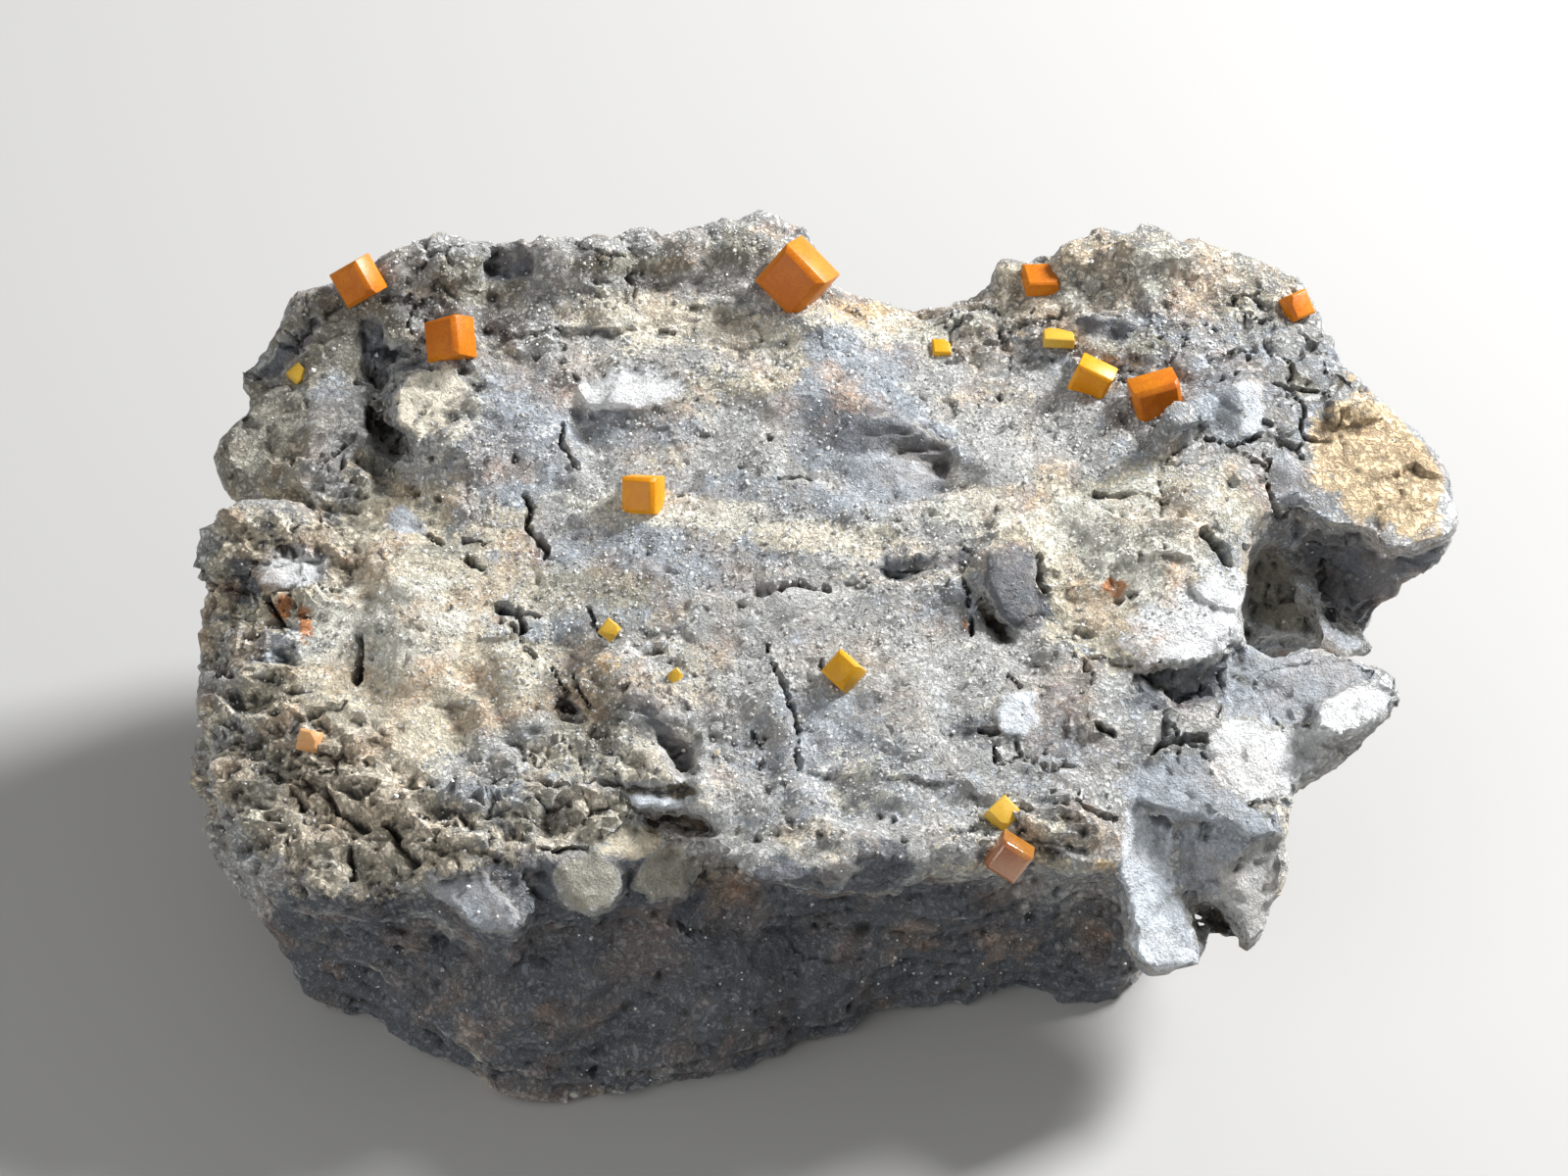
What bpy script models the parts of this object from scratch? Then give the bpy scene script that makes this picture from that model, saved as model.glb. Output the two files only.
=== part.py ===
"""Wulfenite on matrix: orange and yellow wulfenite crystals on a broken lump of grey, drusy dolomite.

The lump is built the way a mason would rough it out: convex blocks are fused into one body, hollows
are cut from it, its surface is weathered, and it is sawn flat where it rests. Each crystal is a square
tablet with chamfered rims, seated in a pocket of its own where its line of sight meets the rock.
Sizes are in millimetres (MM turns them into metres). +X is right, +Y back and +Z up.
"""

import math
from dataclasses import dataclass

import bmesh
import bpy
from mathutils import Matrix, Vector, noise
from mathutils.bvhtree import BVHTree

MM = 0.001

# The lump: how finely it is fused and how many faces it keeps.
FUSE_CELL = 0.8
ROUNDING_PASSES = 2
MATRIX_FACES = 7600
SAW_HEIGHT = 0.7
SLIVER = 0.08

# The weathering of its surface: (size of the feature, height of the feature).
SWELLS = (13.0, 1.3)
LUMPS = (5.0, 0.75)
CHIPS = (6.5, 0.8)
BEDDING = (3.4, 0.45)
BEDDING_DIP = Vector((0.16, -0.10, 1.0)).normalized()

# The calm, even part of the top: its centre, its half width and depth, and the roughness left there.
CALM_CENTRE = (0.0, 3.0)
CALM_REACH = (27.0, 17.0)
CALM_SHARE = 0.3

# The line of sight on which the crystals were placed, over a picture 1600 pixels wide.
VIEW_ELEVATION = math.radians(45)
VIEW_DISTANCE = 600.0
VIEW_TARGET = Vector((-3.2, 7.7, 18.0))
PICTURE_WIDTH_PX = 1600
PICTURE_HEIGHT_PX = 1200
PIXEL = 0.07

POCKET_GAP = 0.25
CHAMFER_SHARE = 0.16

# Corners of the blocks that make the lump, in millimetres.
LUMP_BLOCKS = {
    "foot": [
        (-34, -18.5, -1), (-29, -22.6, -1.6), (-22.5, -25.6, -1.6), (-18, -26.4, -1.6), (-13, -24.2, -1.6),
        (-6, -22.4, -1.6), (1, -16.8, -1.6), (11, -14.6, -1.6), (24, -11, -0.6), (27, 2, -1.6),
        (22, 16, -1.6), (-5, 21, -1.6), (-30, 18, -1.6), (-38.5, 4, -0.6), (-38, -13.5, 2.0),
        (-22.5, -26, 0.8), (-18, -27, 0.8), (-13, -24.6, 0.8), (-6, -23, 0.8), (-45.4, -4, 12), (-45, -9.2, 9), (-42, -14, 5.4),
        (-40, -14, 16), (-22, -18, 18), (0, -15, 20), (18, -15, 20), (28, -5, 20),
        (30, 12, 24), (20, 24, 26), (-10, 25, 28), (-34, 20, 24), (-43, 2, 16),
    ],
    "foot_right_toe": [
        (13, -11, -1.6), (16.5, -18.0, -1.2), (20, -17.6, -1), (24.5, -13.5, 0), (26, -8, -1), (14, -13, 10),
        (16.5, -18.4, 0.9), (20.2, -17.8, 1),
        (23, -13, 10), (18, -9, 13), (25, -6, 12),
    ],
    "front_slab": [
        (-41, -18, 17), (-36, -22, 17), (-29, -23.5, 18.5), (-20.5, -22.5, 20), (-10, -20, 21.2),
        (0, -22, 21), (8, -21, 21.5), (14, -21.8, 20.2), (18.5, -21.6, 19.6), (-40, -17, 12),
        (-30, -21, 13.5), (-12, -18, 16), (8, -18, 17), (19, -17, 15), (-43, 4, 22),
        (-30, 10, 27), (0, 12, 30.3), (24, 8, 29), (29, -2, 26), (-40, 5, 12), (28, 0, 15),
    ],
    "back_left": [
        (-31, 10, 28), (-31.5, 27, 33.2), (-29, 28.2, 33.8), (-22.8, 28.6, 34.2), (-17, 28.2, 33.9),
        (-10, 28.4, 33.8), (-4.6, 28.8, 34.8), (0.4, 27.5, 32), (5, 25, 30), (3, 12, 29.5), (-28, 24, 12),
        (2, 23, 12), (-30, 12, 14), (3, 10, 14),
    ],
    "back_saddle": [
        (0, 10, 30), (0, 26.5, 30), (4, 27, 29.6), (11, 27.5, 30.2), (13, 12, 29.5), (1, 24, 12),
        (12, 24, 12),
    ],
    "back_right": [
        (9, 12, 29.5), (10.9, 27.5, 31), (16.5, 28.4, 32.8), (22.4, 28.8, 34), (25, 28.6, 32.9),
        (29.4, 27.2, 32), (34.4, 24.4, 31.2), (38, 19.8, 31), (42, 15.2, 29.2), (36, 8, 28),
        (26, 4, 28), (12, 24, 12), (30, 22, 14), (38, 14, 18), (30, 6, 15), (12, 10, 14),
    ],
    "left_upper_ledge": [
        (-44.4, 21, 28), (-39.4, 24.6, 29.6), (-36.8, 26, 31.8), (-32.4, 27, 34), (-27, 28, 33.8),
        (-26, 18, 31), (-39, 17, 27), (-30, 12, 27), (-42, 19, 18), (-28, 24, 14), (-26, 12, 14),
    ],
    "left_lower_ledge": [
        (-46, 14, 26.2), (-44.6, 17, 27.2), (-40, 18, 28), (-44.4, 11.6, 24.7), (-36, 9, 26),
        (-30, 14, 28.5), (-30, 6, 26), (-43, 14, 17), (-38, 8, 12), (-28, 6, 12), (-30, 16, 12),
    ],
    "left_lobe": [
        (-43.9, 9, 24), (-46, 4, 22), (-46, -3, 21), (-44.6, -9, 20), (-43.2, -14, 18.5),
        (-41.2, -18.2, 17), (-30, 5, 26), (-25, -5, 26), (-36, -21, 17), (-44, 2, 12),
        (-41, -12, 9), (-30, 0, 10),
    ],
    "right_block": [
        (31, 9.6, 29), (45.2, 12.6, 27), (45.8, 8.6, 26), (44.8, 6.9, 22), (42.2, 6.8, 19.5),
        (39.4, 6.8, 16.8), (35, 5.0, 26.6), (40.3, 4.9, 26.8), (42, 15.2, 29.2), (38, 19.8, 31),
        (30, 14, 29), (40, 14, 16), (33, 16, 12), (33, 7, 14),
    ],
    "recess_backing": [
        (27, 4, 8), (38, 6, 11), (39.4, 8, 14), (39, 14, 14), (27, 14, 8), (27, 3, 20), (37.5, 5, 17.4),
        (39, 8, 19),
    ],
    "middle_prong": [
        (24, -0.6, 22.4), (40.9, -6.0, 22.0), (40.5, -7.4, 21.0), (39.2, -2.4, 21.8), (37, -0.9, 21.6),
        (36.5, -7.4, 18), (33.3, -10.6, 17), (23, -12.4, 21), (23, -9, 23.4), (34, -4, 12),
        (28, -10, 10), (24, -2, 10), (36, -5, 15), (32, -5.4, 23.4),
    ],
    "corner_strip": [
        (19.6, -13.6, 22.4), (25, -12.6, 22.6), (20.4, -21.6, 16.5), (21.4, -23.4, 10), (23.5, -23.8, 9.4),
        (28, -23.4, 10), (25.4, -19.8, 16), (20, -12, 9), (27, -12, 9), (22, -21, 8.2),
    ],
    "corner_block": [
        (24, -11.4, 22.6), (32.4, -11.4, 20.6), (31.9, -15.4, 18.8), (31.8, -18.4, 15.6), (30.8, -20.8, 9.4),
        (29.2, -21.6, 9.6), (27.4, -19.6, 15.4), (25, -16.4, 19.2), (24, -10, 9), (29.4, -12, 8.6),
        (28, -19, 8.4),
    ],
    "right_dome": [
        (16.5, -0.8, 26.5), (18.5, -5, 25.4), (21.3, -8.6, 25.0), (26.6, -7.8, 25.2), (29.3, -5.8, 25.8),
        (30.3, 0.3, 27.2), (30.9, 3.2, 28), (27, 8.4, 29.2), (21.3, 6.8, 28.6), (22.5, -1.5, 27.1),
        (25.5, 1.5, 28.1), (18, -4, 18), (21.6, -6, 20.5), (26.4, -5.6, 20.5), (29, -3, 20.5),
        (30, 2, 21), (24, 6, 20),
    ],
    "pale_sliver": [
        (32.8, 2.8, 24.6), (34.2, 2.4, 24.2), (37.4, 0.4, 21), (35.6, -2.6, 21.6), (39.2, -1.0, 20.4),
        (39.8, 1.2, 18.8), (33.2, 1.5, 18), (36, 5, 14), (38.6, 4, 13), (34, 5, 20),
    ],
    "slate_block": [
        (27, 10.8, 29.6), (31, 11.6, 30), (31.4, 15.5, 31.6), (27.4, 16, 31.9), (26, 11, 26), (32, 12, 26),
        (32, 16, 27), (26, 16, 27),
    ],
    "cross_rib": [
        (-18.4, -3, 25.2), (-16.6, -2.4, 26.3), (-15.2, -3.2, 25.2), (-9.7, -16.6, 22.6), (-8.6, -15.6, 23.5),
        (-7.2, -15.4, 22.2), (-13, -10, 19),
    ],
}

# Rounded swellings on the lump: centre, and half sizes along x, y and z.
LUMP_SWELLINGS = {
    "slate_knob": ((13.6, 1.2, 24.2), (3.2, 4.2, 5.0)),
    "left_boulder": ((-26.8, 13.6, 25.6), (5.6, 4.8, 5.0)),
    "back_left_knob": ((-4.6, 26.8, 31.8), (3.6, 3.0, 4.0)),
    "back_right_knob": ((22.6, 26.4, 30.6), (4.4, 3.4, 4.2)),
    "crest_knob": ((20.0, 19.4, 29.4), (3.6, 2.6, 3.6)),
    "toe_left": ((-23.0, -20.4, 14.8), (3.8, 3.2, 3.0)),
    "toe_middle": ((-17.0, -19.0, 14.6), (3.3, 3.0, 3.3)),
    "toe_right": ((-12.2, -17.8, 14.4), (3.0, 3.0, 3.0)),
    "toe_upper": ((-15.0, -16.0, 17.0), (2.6, 2.6, 2.4)),
    "foot_bulge": ((-21.0, -19.8, 6.0), (9.4, 6.0, 5.6)),
    "foot_left_bulge": ((-34.0, -12.5, 8.0), (8.0, 5.0, 6.0)),
}

# Hollows cut from the lump: centre, half sizes, and turn about z in degrees.
LUMP_HOLLOWS = {
    "lip_notch": ((-13.5, -22.0, 22.0), (5.4, 5.2, 4.2), -8),
    "lip_bay": ((-7.0, -21.8, 15.5), (6.5, 3.6, 3.6), 0),
    "front_undercut": ((6.0, -22.5, 12.0), (13.0, 5.0, 5.2), 0),
    "left_crevice": ((-31.0, 12.6, 28.6), (1.7, 4.0, 3.4), -28),
    "ledge_groove": ((-37.5, 20.2, 29.6), (1.1, 4.2, 1.5), -24),
    "crest_groove": ((-22.0, 26.3, 34.2), (1.4, 3.2, 1.8), -12),
    "side_notch": ((-46.4, 10.6, 25.0), (4.4, 1.4, 4.4), 10),
    "side_pit": ((-43.9, 2.6, 23.8), (1.9, 1.7, 2.6), 0),
    "knob_crevice": ((10.0, 0.4, 26.0), (1.0, 4.0, 2.0), -6),
    "dome_gap": ((25.6, -7.4, 22.8), (4.4, 1.7, 1.5), 8),
    "recess": ((32.3, 2.2, 24.9), (2.6, 3.4, 3.6), 0),
    "block_shadow": ((36.9, 4.6, 22.8), (3.0, 2.4, 2.4), 8),
    "corner_cavity": ((26.9, -20.6, 13.4), (1.5, 3.4, 4.0), -30),
    "corner_hollow": ((27.2, -18.6, 18.2), (2.2, 1.8, 1.6), 0),
    "back_scoop": ((8.0, 28.6, 31.4), (6.0, 3.6, 3.0), 0),
    "crest_trench": ((21.0, 16.4, 32.2), (4.2, 1.3, 1.8), -10),
    "right_pit": ((36.7, 15.2, 31.0), (1.6, 1.3, 1.8), 0),
    "rib_pit": ((-14.6, -9.6, 22.8), (1.4, 1.5, 1.6), 30),
    "left_pit": ((-18.9, -7.6, 23.6), (1.7, 1.1, 1.7), -20),
}


@dataclass(frozen=True)
class Crystal:
    """One square tablet: where it is seen, its size, how it faces the viewer and how far it stands out."""

    seen_at: tuple[float, float]
    side: float
    thickness: float
    facing: tuple[float, float, float]
    edge: tuple[float, float]
    lift: float
    finish: str


# facing is the square face's direction as (right, up, towards the viewer); edge is one side's
# direction in the picture as (right, up).
CRYSTALS = {
    "wulfenite_large_block": Crystal((812, 286), 4.0, 3.4, (-0.42, -0.28, 0.86), (0.74, -0.67), 1.0, "orange"),
    "wulfenite_left_rear": Crystal((367, 293), 2.8, 2.3, (-0.5, -0.35, 0.79), (0.45, -0.89), 1.3, "orange"),
    "wulfenite_left": Crystal((460, 350), 3.0, 2.6, (-0.62, 0.1, 0.78), (0.25, -0.97), 0.8, "orange"),
    "wulfenite_centre_left": Crystal((657, 508), 2.6, 2.2, (-0.42, -0.1, 0.9), (0.05, 1.0), 0.75, "honey"),
    "wulfenite_centre": Crystal((861, 687), 2.1, 1.8, (-0.35, 0.25, 0.9), (0.75, -0.66), 0.55, "ochre"),
    "wulfenite_right": Crystal((1114, 389), 2.7, 1.9, (-0.3, -0.62, 0.72), (0.9, -0.44), 0.6, "honey"),
    "wulfenite_dark": Crystal((1180, 410), 3.4, 2.6, (0.25, -0.55, 0.8), (0.97, 0.2), 0.5, "brown"),
    "wulfenite_front": Crystal((1028, 871), 2.5, 2.2, (-0.1, -0.45, 0.89), (0.8, -0.6), 0.7, "amber"),
    "wulfenite_front_cap": Crystal((1024, 832), 1.9, 1.2, (0.2, 0.35, 0.9), (0.7, 0.7), 0.15, "yellow"),
    "wulfenite_rear": Crystal((1062, 287), 2.4, 1.3, (0.1, 0.75, 0.65), (0.97, 0.25), 0.3, "orange"),
    "wulfenite_edge": Crystal((1322, 314), 1.9, 1.3, (0.5, 0.2, 0.84), (0.4, -0.9), 0.4, "orange"),
    "wulfenite_tablet": Crystal((1080, 345), 2.2, 0.8, (0.05, 0.9, 0.42), (1.0, 0.05), 0.2, "yellow"),
    "wulfenite_low_left": Crystal((317, 757), 1.5, 1.3, (-0.2, 0.1, 0.95), (0.2, 1.0), 0.35, "peach"),
    "wulfenite_small_upper": Crystal((622, 644), 1.2, 1.0, (0.1, 0.2, 0.97), (0.6, 0.8), 0.3, "yellow"),
    "wulfenite_small_lower": Crystal((689, 692), 1.0, 0.8, (0.1, 0.1, 0.98), (0.8, 0.6), 0.25, "yellow"),
    "wulfenite_far_left": Crystal((305, 384), 1.2, 1.0, (0.0, 0.3, 0.95), (0.7, 0.7), 0.3, "yellow"),
    "wulfenite_crest": Crystal((960, 357), 1.3, 0.8, (0.1, 0.6, 0.8), (0.95, 0.1), 0.25, "ochre"),
}

COLOURS = {
    "dolomite": (0.46, 0.45, 0.40, 1.0),
    "orange": (0.72, 0.27, 0.03, 1.0),
    "honey": (0.80, 0.38, 0.04, 1.0),
    "ochre": (0.62, 0.42, 0.06, 1.0),
    "brown": (0.50, 0.17, 0.03, 1.0),
    "amber": (0.74, 0.30, 0.06, 1.0),
    "yellow": (0.82, 0.62, 0.12, 1.0),
    "peach": (0.78, 0.45, 0.24, 1.0),
}


def clear_scene():
    """Remove whatever the file opens with."""
    for found in list(bpy.data.objects):
        bpy.data.objects.remove(found, do_unlink=True)


def new_collection(name):
    """A collection linked to the scene."""
    made = bpy.data.collections.new(name)
    bpy.context.scene.collection.children.link(made)
    return made


def finish_material(name):
    """A plain material for one finish."""
    found = bpy.data.materials.get(name)
    if found:
        return found
    made = bpy.data.materials.new(name)
    made.use_nodes = True
    shader = made.node_tree.nodes["Principled BSDF"]
    shader.inputs["Base Color"].default_value = COLOURS[name]
    shader.inputs["Roughness"].default_value = 0.85 if name == "dolomite" else 0.28
    shader.inputs["Metallic"].default_value = 0.0
    return made


def object_from(body, name, collection):
    """An object made from a bmesh, which is freed."""
    mesh = bpy.data.meshes.new(name)
    body.to_mesh(mesh)
    body.free()
    made = bpy.data.objects.new(name, mesh)
    collection.objects.link(made)
    return made


def apply_modifiers(thing):
    """Bake an object's modifiers into its mesh."""
    graph = bpy.context.evaluated_depsgraph_get()
    baked = bpy.data.meshes.new_from_object(thing.evaluated_get(graph))
    thing.modifiers.clear()
    thing.data = baked


def add_block(body, corners):
    """Add the convex block that spans the corners."""
    start = [body.verts.new(Vector(corner) * MM) for corner in corners]
    spanned = bmesh.ops.convex_hull(body, input=start)
    unused = [v for v in spanned["geom_interior"] if isinstance(v, bmesh.types.BMVert)]
    bmesh.ops.delete(body, geom=unused, context="VERTS")


def add_swelling(body, centre, half_sizes, turn=0.0):
    """Add an ellipsoid."""
    place = (
        Matrix.Translation(Vector(centre) * MM)
        @ Matrix.Rotation(math.radians(turn), 4, "Z")
        @ Matrix.Diagonal((*(size * MM for size in half_sizes), 1.0))
    )
    bmesh.ops.create_icosphere(body, subdivisions=3, radius=1.0, matrix=place)


def settle_order(mesh):
    """Number the points and faces by where they lie, so that the skin is thinned the same way each time."""
    points = [tuple(vert.co) for vert in mesh.vertices]
    order = sorted(range(len(points)), key=points.__getitem__)
    number = {old: new for new, old in enumerate(order)}
    faces = []
    for face in mesh.polygons:
        ring = [number[index] for index in face.vertices]
        first = ring.index(min(ring))
        faces.append(tuple(ring[first:] + ring[:first]))
    mesh.clear_geometry()
    mesh.from_pydata([points[index] for index in order], [], sorted(faces))


def fuse(thing, cell):
    """Fuse overlapping shapes into one closed skin."""
    remesh = thing.modifiers.new("fuse", "REMESH")
    remesh.mode = "VOXEL"
    remesh.voxel_size = cell * MM
    remesh.adaptivity = 0.0
    apply_modifiers(thing)
    settle_order(thing.data)


def cut(thing, cutter, name):
    """Take the cutter's shape out of the thing."""
    boolean = thing.modifiers.new(name, "BOOLEAN")
    boolean.operation = "DIFFERENCE"
    boolean.solver = "EXACT"
    boolean.object = cutter


def hide_cutter(cutter):
    """Keep a cutter out of renders."""
    cutter.hide_render = True
    cutter.display_type = "WIRE"


def roughness_share(at, normal):
    """How rough the skin is here: little in the calm part of the top, full elsewhere."""
    across = (at.x - CALM_CENTRE[0]) / CALM_REACH[0]
    along = (at.y - CALM_CENTRE[1]) / CALM_REACH[1]
    away = min(1.0, across * across + along * along)
    return 1.0 - (1.0 - CALM_SHARE) * (1.0 - away) * max(0.0, normal.z)


def weathering(at):
    """How far the rock's skin stands out at a point, in millimetres."""
    swell_size, swell_height = SWELLS
    lump_size, lump_height = LUMPS
    chip_size, chip_height = CHIPS
    bed_size, bed_height = BEDDING
    swell = noise.noise(at / swell_size) * swell_height
    lump = noise.turbulence(at / lump_size, 3, False) * lump_height
    gaps, centres = noise.voronoi(at / chip_size)
    tilt = noise.cell_vector(centres[0] * 7.31) * 2.0 - Vector((1.0, 1.0, 1.0))
    chip = (at / chip_size - centres[0]).dot(tilt) * chip_height - (gaps[1] - gaps[0] < 0.08) * 0.3
    level = at.dot(BEDDING_DIP) / bed_size + noise.noise(at / 9.0) * 0.8
    bed = (abs((level % 1.0) - 0.5) - 0.25) * 4 * bed_height
    return swell + lump - lump_height * 0.5 + chip + bed


def weather(thing):
    """Push the skin of the lump in and out along its normals."""
    body = bmesh.new()
    body.from_mesh(thing.data)
    for _ in range(ROUNDING_PASSES):
        bmesh.ops.smooth_vert(body, verts=body.verts, factor=0.5, use_axis_x=True, use_axis_y=True, use_axis_z=True)
    body.normal_update()
    moves = []
    for vert in body.verts:
        at = vert.co / MM
        moves.append(vert.normal * weathering(at) * roughness_share(at, vert.normal) * MM)
    for vert, move in zip(body.verts, moves):
        vert.co += move
    body.to_mesh(thing.data)
    body.free()


def thin_out(thing, faces):
    """Lower the face count, keeping the shape."""
    decimate = thing.modifiers.new("thin_out", "DECIMATE")
    decimate.ratio = faces / (2 * len(thing.data.polygons))
    decimate.use_collapse_triangulate = True
    apply_modifiers(thing)


def saw_flat(thing, height):
    """Saw the lump off level where it rests."""
    body = bmesh.new()
    body.from_mesh(thing.data)
    for vert in body.verts:
        if abs(vert.co.z / MM - height) < SLIVER:
            vert.co.z = (height - SLIVER) * MM
    cut_edges = bmesh.ops.bisect_plane(
        body,
        geom=body.verts[:] + body.edges[:] + body.faces[:],
        dist=SLIVER * MM * 0.01,
        plane_co=(0, 0, height * MM),
        plane_no=(0, 0, -1),
        clear_outer=True,
    )["geom_cut"]
    rim = [e for e in cut_edges if isinstance(e, bmesh.types.BMEdge)]
    bmesh.ops.holes_fill(body, edges=rim, sides=0)
    bmesh.ops.triangulate(body, faces=[f for f in body.faces if len(f.verts) > 3])
    bmesh.ops.recalc_face_normals(body, faces=body.faces)
    body.to_mesh(thing.data)
    body.free()


def make_matrix(collection, cutters):
    """The lump of dolomite that carries the crystals."""
    body = bmesh.new()
    for corners in LUMP_BLOCKS.values():
        add_block(body, corners)
    for centre, half_sizes in LUMP_SWELLINGS.values():
        add_swelling(body, centre, half_sizes)
    matrix = object_from(body, "matrix", collection)
    fuse(matrix, FUSE_CELL)
    hollows = bmesh.new()
    for centre, half_sizes, turn in LUMP_HOLLOWS.values():
        add_swelling(hollows, centre, half_sizes, turn)
    cutter = object_from(hollows, "cut_hollows", cutters)
    fuse(cutter, FUSE_CELL / 2)
    cut(matrix, cutter, "hollows")
    apply_modifiers(matrix)
    fuse(matrix, FUSE_CELL)
    weather(matrix)
    fuse(matrix, FUSE_CELL)
    thin_out(matrix, MATRIX_FACES)
    saw_flat(matrix, SAW_HEIGHT)
    matrix.data.materials.clear()
    matrix.data.materials.append(finish_material("dolomite"))
    hide_cutter(cutter)
    return matrix


def view_axes():
    """The picture's right, up and outward directions."""
    lean = VIEW_ELEVATION
    right = Vector((1, 0, 0))
    up = Vector((0, math.sin(lean), math.cos(lean)))
    out = Vector((0, -math.cos(lean), math.sin(lean)))
    return right, up, out


def sight_line(pixel):
    """The viewer's place and the direction of the sight line through a pixel, in metres."""
    right, up, out = view_axes()
    across = (pixel[0] - PICTURE_WIDTH_PX / 2) * PIXEL
    above = (PICTURE_HEIGHT_PX / 2 - pixel[1]) * PIXEL
    eye = VIEW_TARGET + out * VIEW_DISTANCE
    seen = VIEW_TARGET + right * across + up * above
    return eye * MM, (seen - eye).normalized()


def crystal_place(crystal, skin):
    """The matrix that seats a crystal where its sight line meets the rock."""
    eye, direction = sight_line(crystal.seen_at)
    hit, normal, _, _ = skin.ray_cast(eye, direction)
    right, up, out = view_axes()
    facing = sum((axis * share for axis, share in zip((right, up, out), crystal.facing)), Vector()).normalized()
    edge = right * crystal.edge[0] + up * crystal.edge[1]
    edge = (edge - facing * edge.dot(facing)).normalized()
    turn = Matrix((edge, facing.cross(edge), facing)).transposed().to_4x4()
    centre = hit + (normal * 0.5 + out * 0.5) * crystal.lift * MM
    return Matrix.Translation(centre) @ turn


def tablet(crystal, grow=0.0):
    """A square tablet with chamfered rims, as a bmesh about its own centre."""
    body = bmesh.new()
    side = crystal.side + 2 * grow
    thickness = crystal.thickness + 2 * grow
    bmesh.ops.create_cube(body, size=1.0, matrix=Matrix.Diagonal((side * MM, side * MM, thickness * MM, 1.0)))
    rims = [e for e in body.edges if abs(e.verts[0].co.z - e.verts[1].co.z) < SLIVER * MM]
    bmesh.ops.bevel(
        body,
        geom=rims,
        offset=CHAMFER_SHARE * crystal.thickness * MM,
        offset_type="OFFSET",
        segments=1,
        profile=0.5,
        affect="EDGES",
    )
    return body


def make_crystal(name, crystal, skin, collection, cutters):
    """One crystal, and the cutter of the pocket that it sits in."""
    place = crystal_place(crystal, skin)
    made = object_from(tablet(crystal), name, collection)
    made.matrix_world = place
    made.data.materials.append(finish_material(crystal.finish))
    cutter = object_from(tablet(crystal, POCKET_GAP), "cut_" + name, cutters)
    cutter.matrix_world = place
    hide_cutter(cutter)
    return made, cutter


def stand_on_origin(things):
    """Move everything so that the origin is under the middle of the object, at its base."""
    bpy.context.view_layer.update()
    graph = bpy.context.evaluated_depsgraph_get()
    corners = []
    for thing in things:
        shown = thing.evaluated_get(graph)
        corners += [shown.matrix_world @ vert.co for vert in shown.data.vertices]
    low = Vector(min(corner[axis] for corner in corners) for axis in range(3))
    high = Vector(max(corner[axis] for corner in corners) for axis in range(3))
    shift = Vector((-(low.x + high.x) / 2, -(low.y + high.y) / 2, -low.z))
    for thing in bpy.data.objects:
        thing.matrix_world = Matrix.Translation(shift) @ thing.matrix_world
    return shift, high - low


def main():
    clear_scene()
    specimen = new_collection("wulfenite_on_matrix")
    cutters = new_collection("cutters")
    matrix = make_matrix(specimen, cutters)
    skin = BVHTree.FromObject(matrix, bpy.context.evaluated_depsgraph_get())
    pieces = [matrix]
    for name, crystal in CRYSTALS.items():
        made, cutter = make_crystal(name, crystal, skin, specimen, cutters)
        cut(matrix, cutter, "pocket_" + name)
        pieces.append(made)
    shift, size = stand_on_origin(pieces)
    print("moved by", [round(value / MM, 3) for value in shift], "mm")
    print("size", [round(value / MM, 2) for value in size], "mm")


main()
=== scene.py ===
"""Wulfenite on matrix: the looks of the specimen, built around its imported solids.

A lump of blue-grey and cream dolomite is roughened from its solid, carved with the cracks, pits and ledges
of its lit side, painted by zone and set with a quartz druse. Seventeen wulfenite crystals stand in it.
Lengths are in millimetres unless a name ends in _M, and pixels are those of a picture 1600 by 1200.
"""

import logging
import math
from dataclasses import dataclass, field
from enum import Enum
from functools import reduce
from itertools import product
from typing import Callable, ClassVar

import bmesh
import bpy
import numpy as np
from mathutils import Matrix, Vector
from mathutils.bvhtree import BVHTree


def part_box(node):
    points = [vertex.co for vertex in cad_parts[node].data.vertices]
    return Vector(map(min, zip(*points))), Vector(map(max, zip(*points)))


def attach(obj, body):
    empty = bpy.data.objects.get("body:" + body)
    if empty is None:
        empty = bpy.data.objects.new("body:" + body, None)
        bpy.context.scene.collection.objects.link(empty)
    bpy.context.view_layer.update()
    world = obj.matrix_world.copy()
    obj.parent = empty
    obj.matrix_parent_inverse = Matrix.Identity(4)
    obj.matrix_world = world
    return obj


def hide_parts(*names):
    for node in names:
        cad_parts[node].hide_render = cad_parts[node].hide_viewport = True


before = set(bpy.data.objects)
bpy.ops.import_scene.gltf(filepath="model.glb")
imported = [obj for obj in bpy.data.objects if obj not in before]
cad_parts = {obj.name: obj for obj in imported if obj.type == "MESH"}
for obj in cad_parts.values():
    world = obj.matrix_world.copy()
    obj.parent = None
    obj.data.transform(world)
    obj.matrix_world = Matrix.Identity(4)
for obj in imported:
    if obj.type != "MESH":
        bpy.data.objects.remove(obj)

MM = 0.001
LAYERS_HEIGHT = 1.6
BODY = "root"
Colour = tuple[float, float, float]
Place = tuple[float, float, float]
Direction = tuple[float, float, float]
Pixel = tuple[float, float]
Array = np.ndarray
Socket = bpy.types.NodeSocket

log = logging.getLogger("wulfenite_on_matrix")


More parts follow.
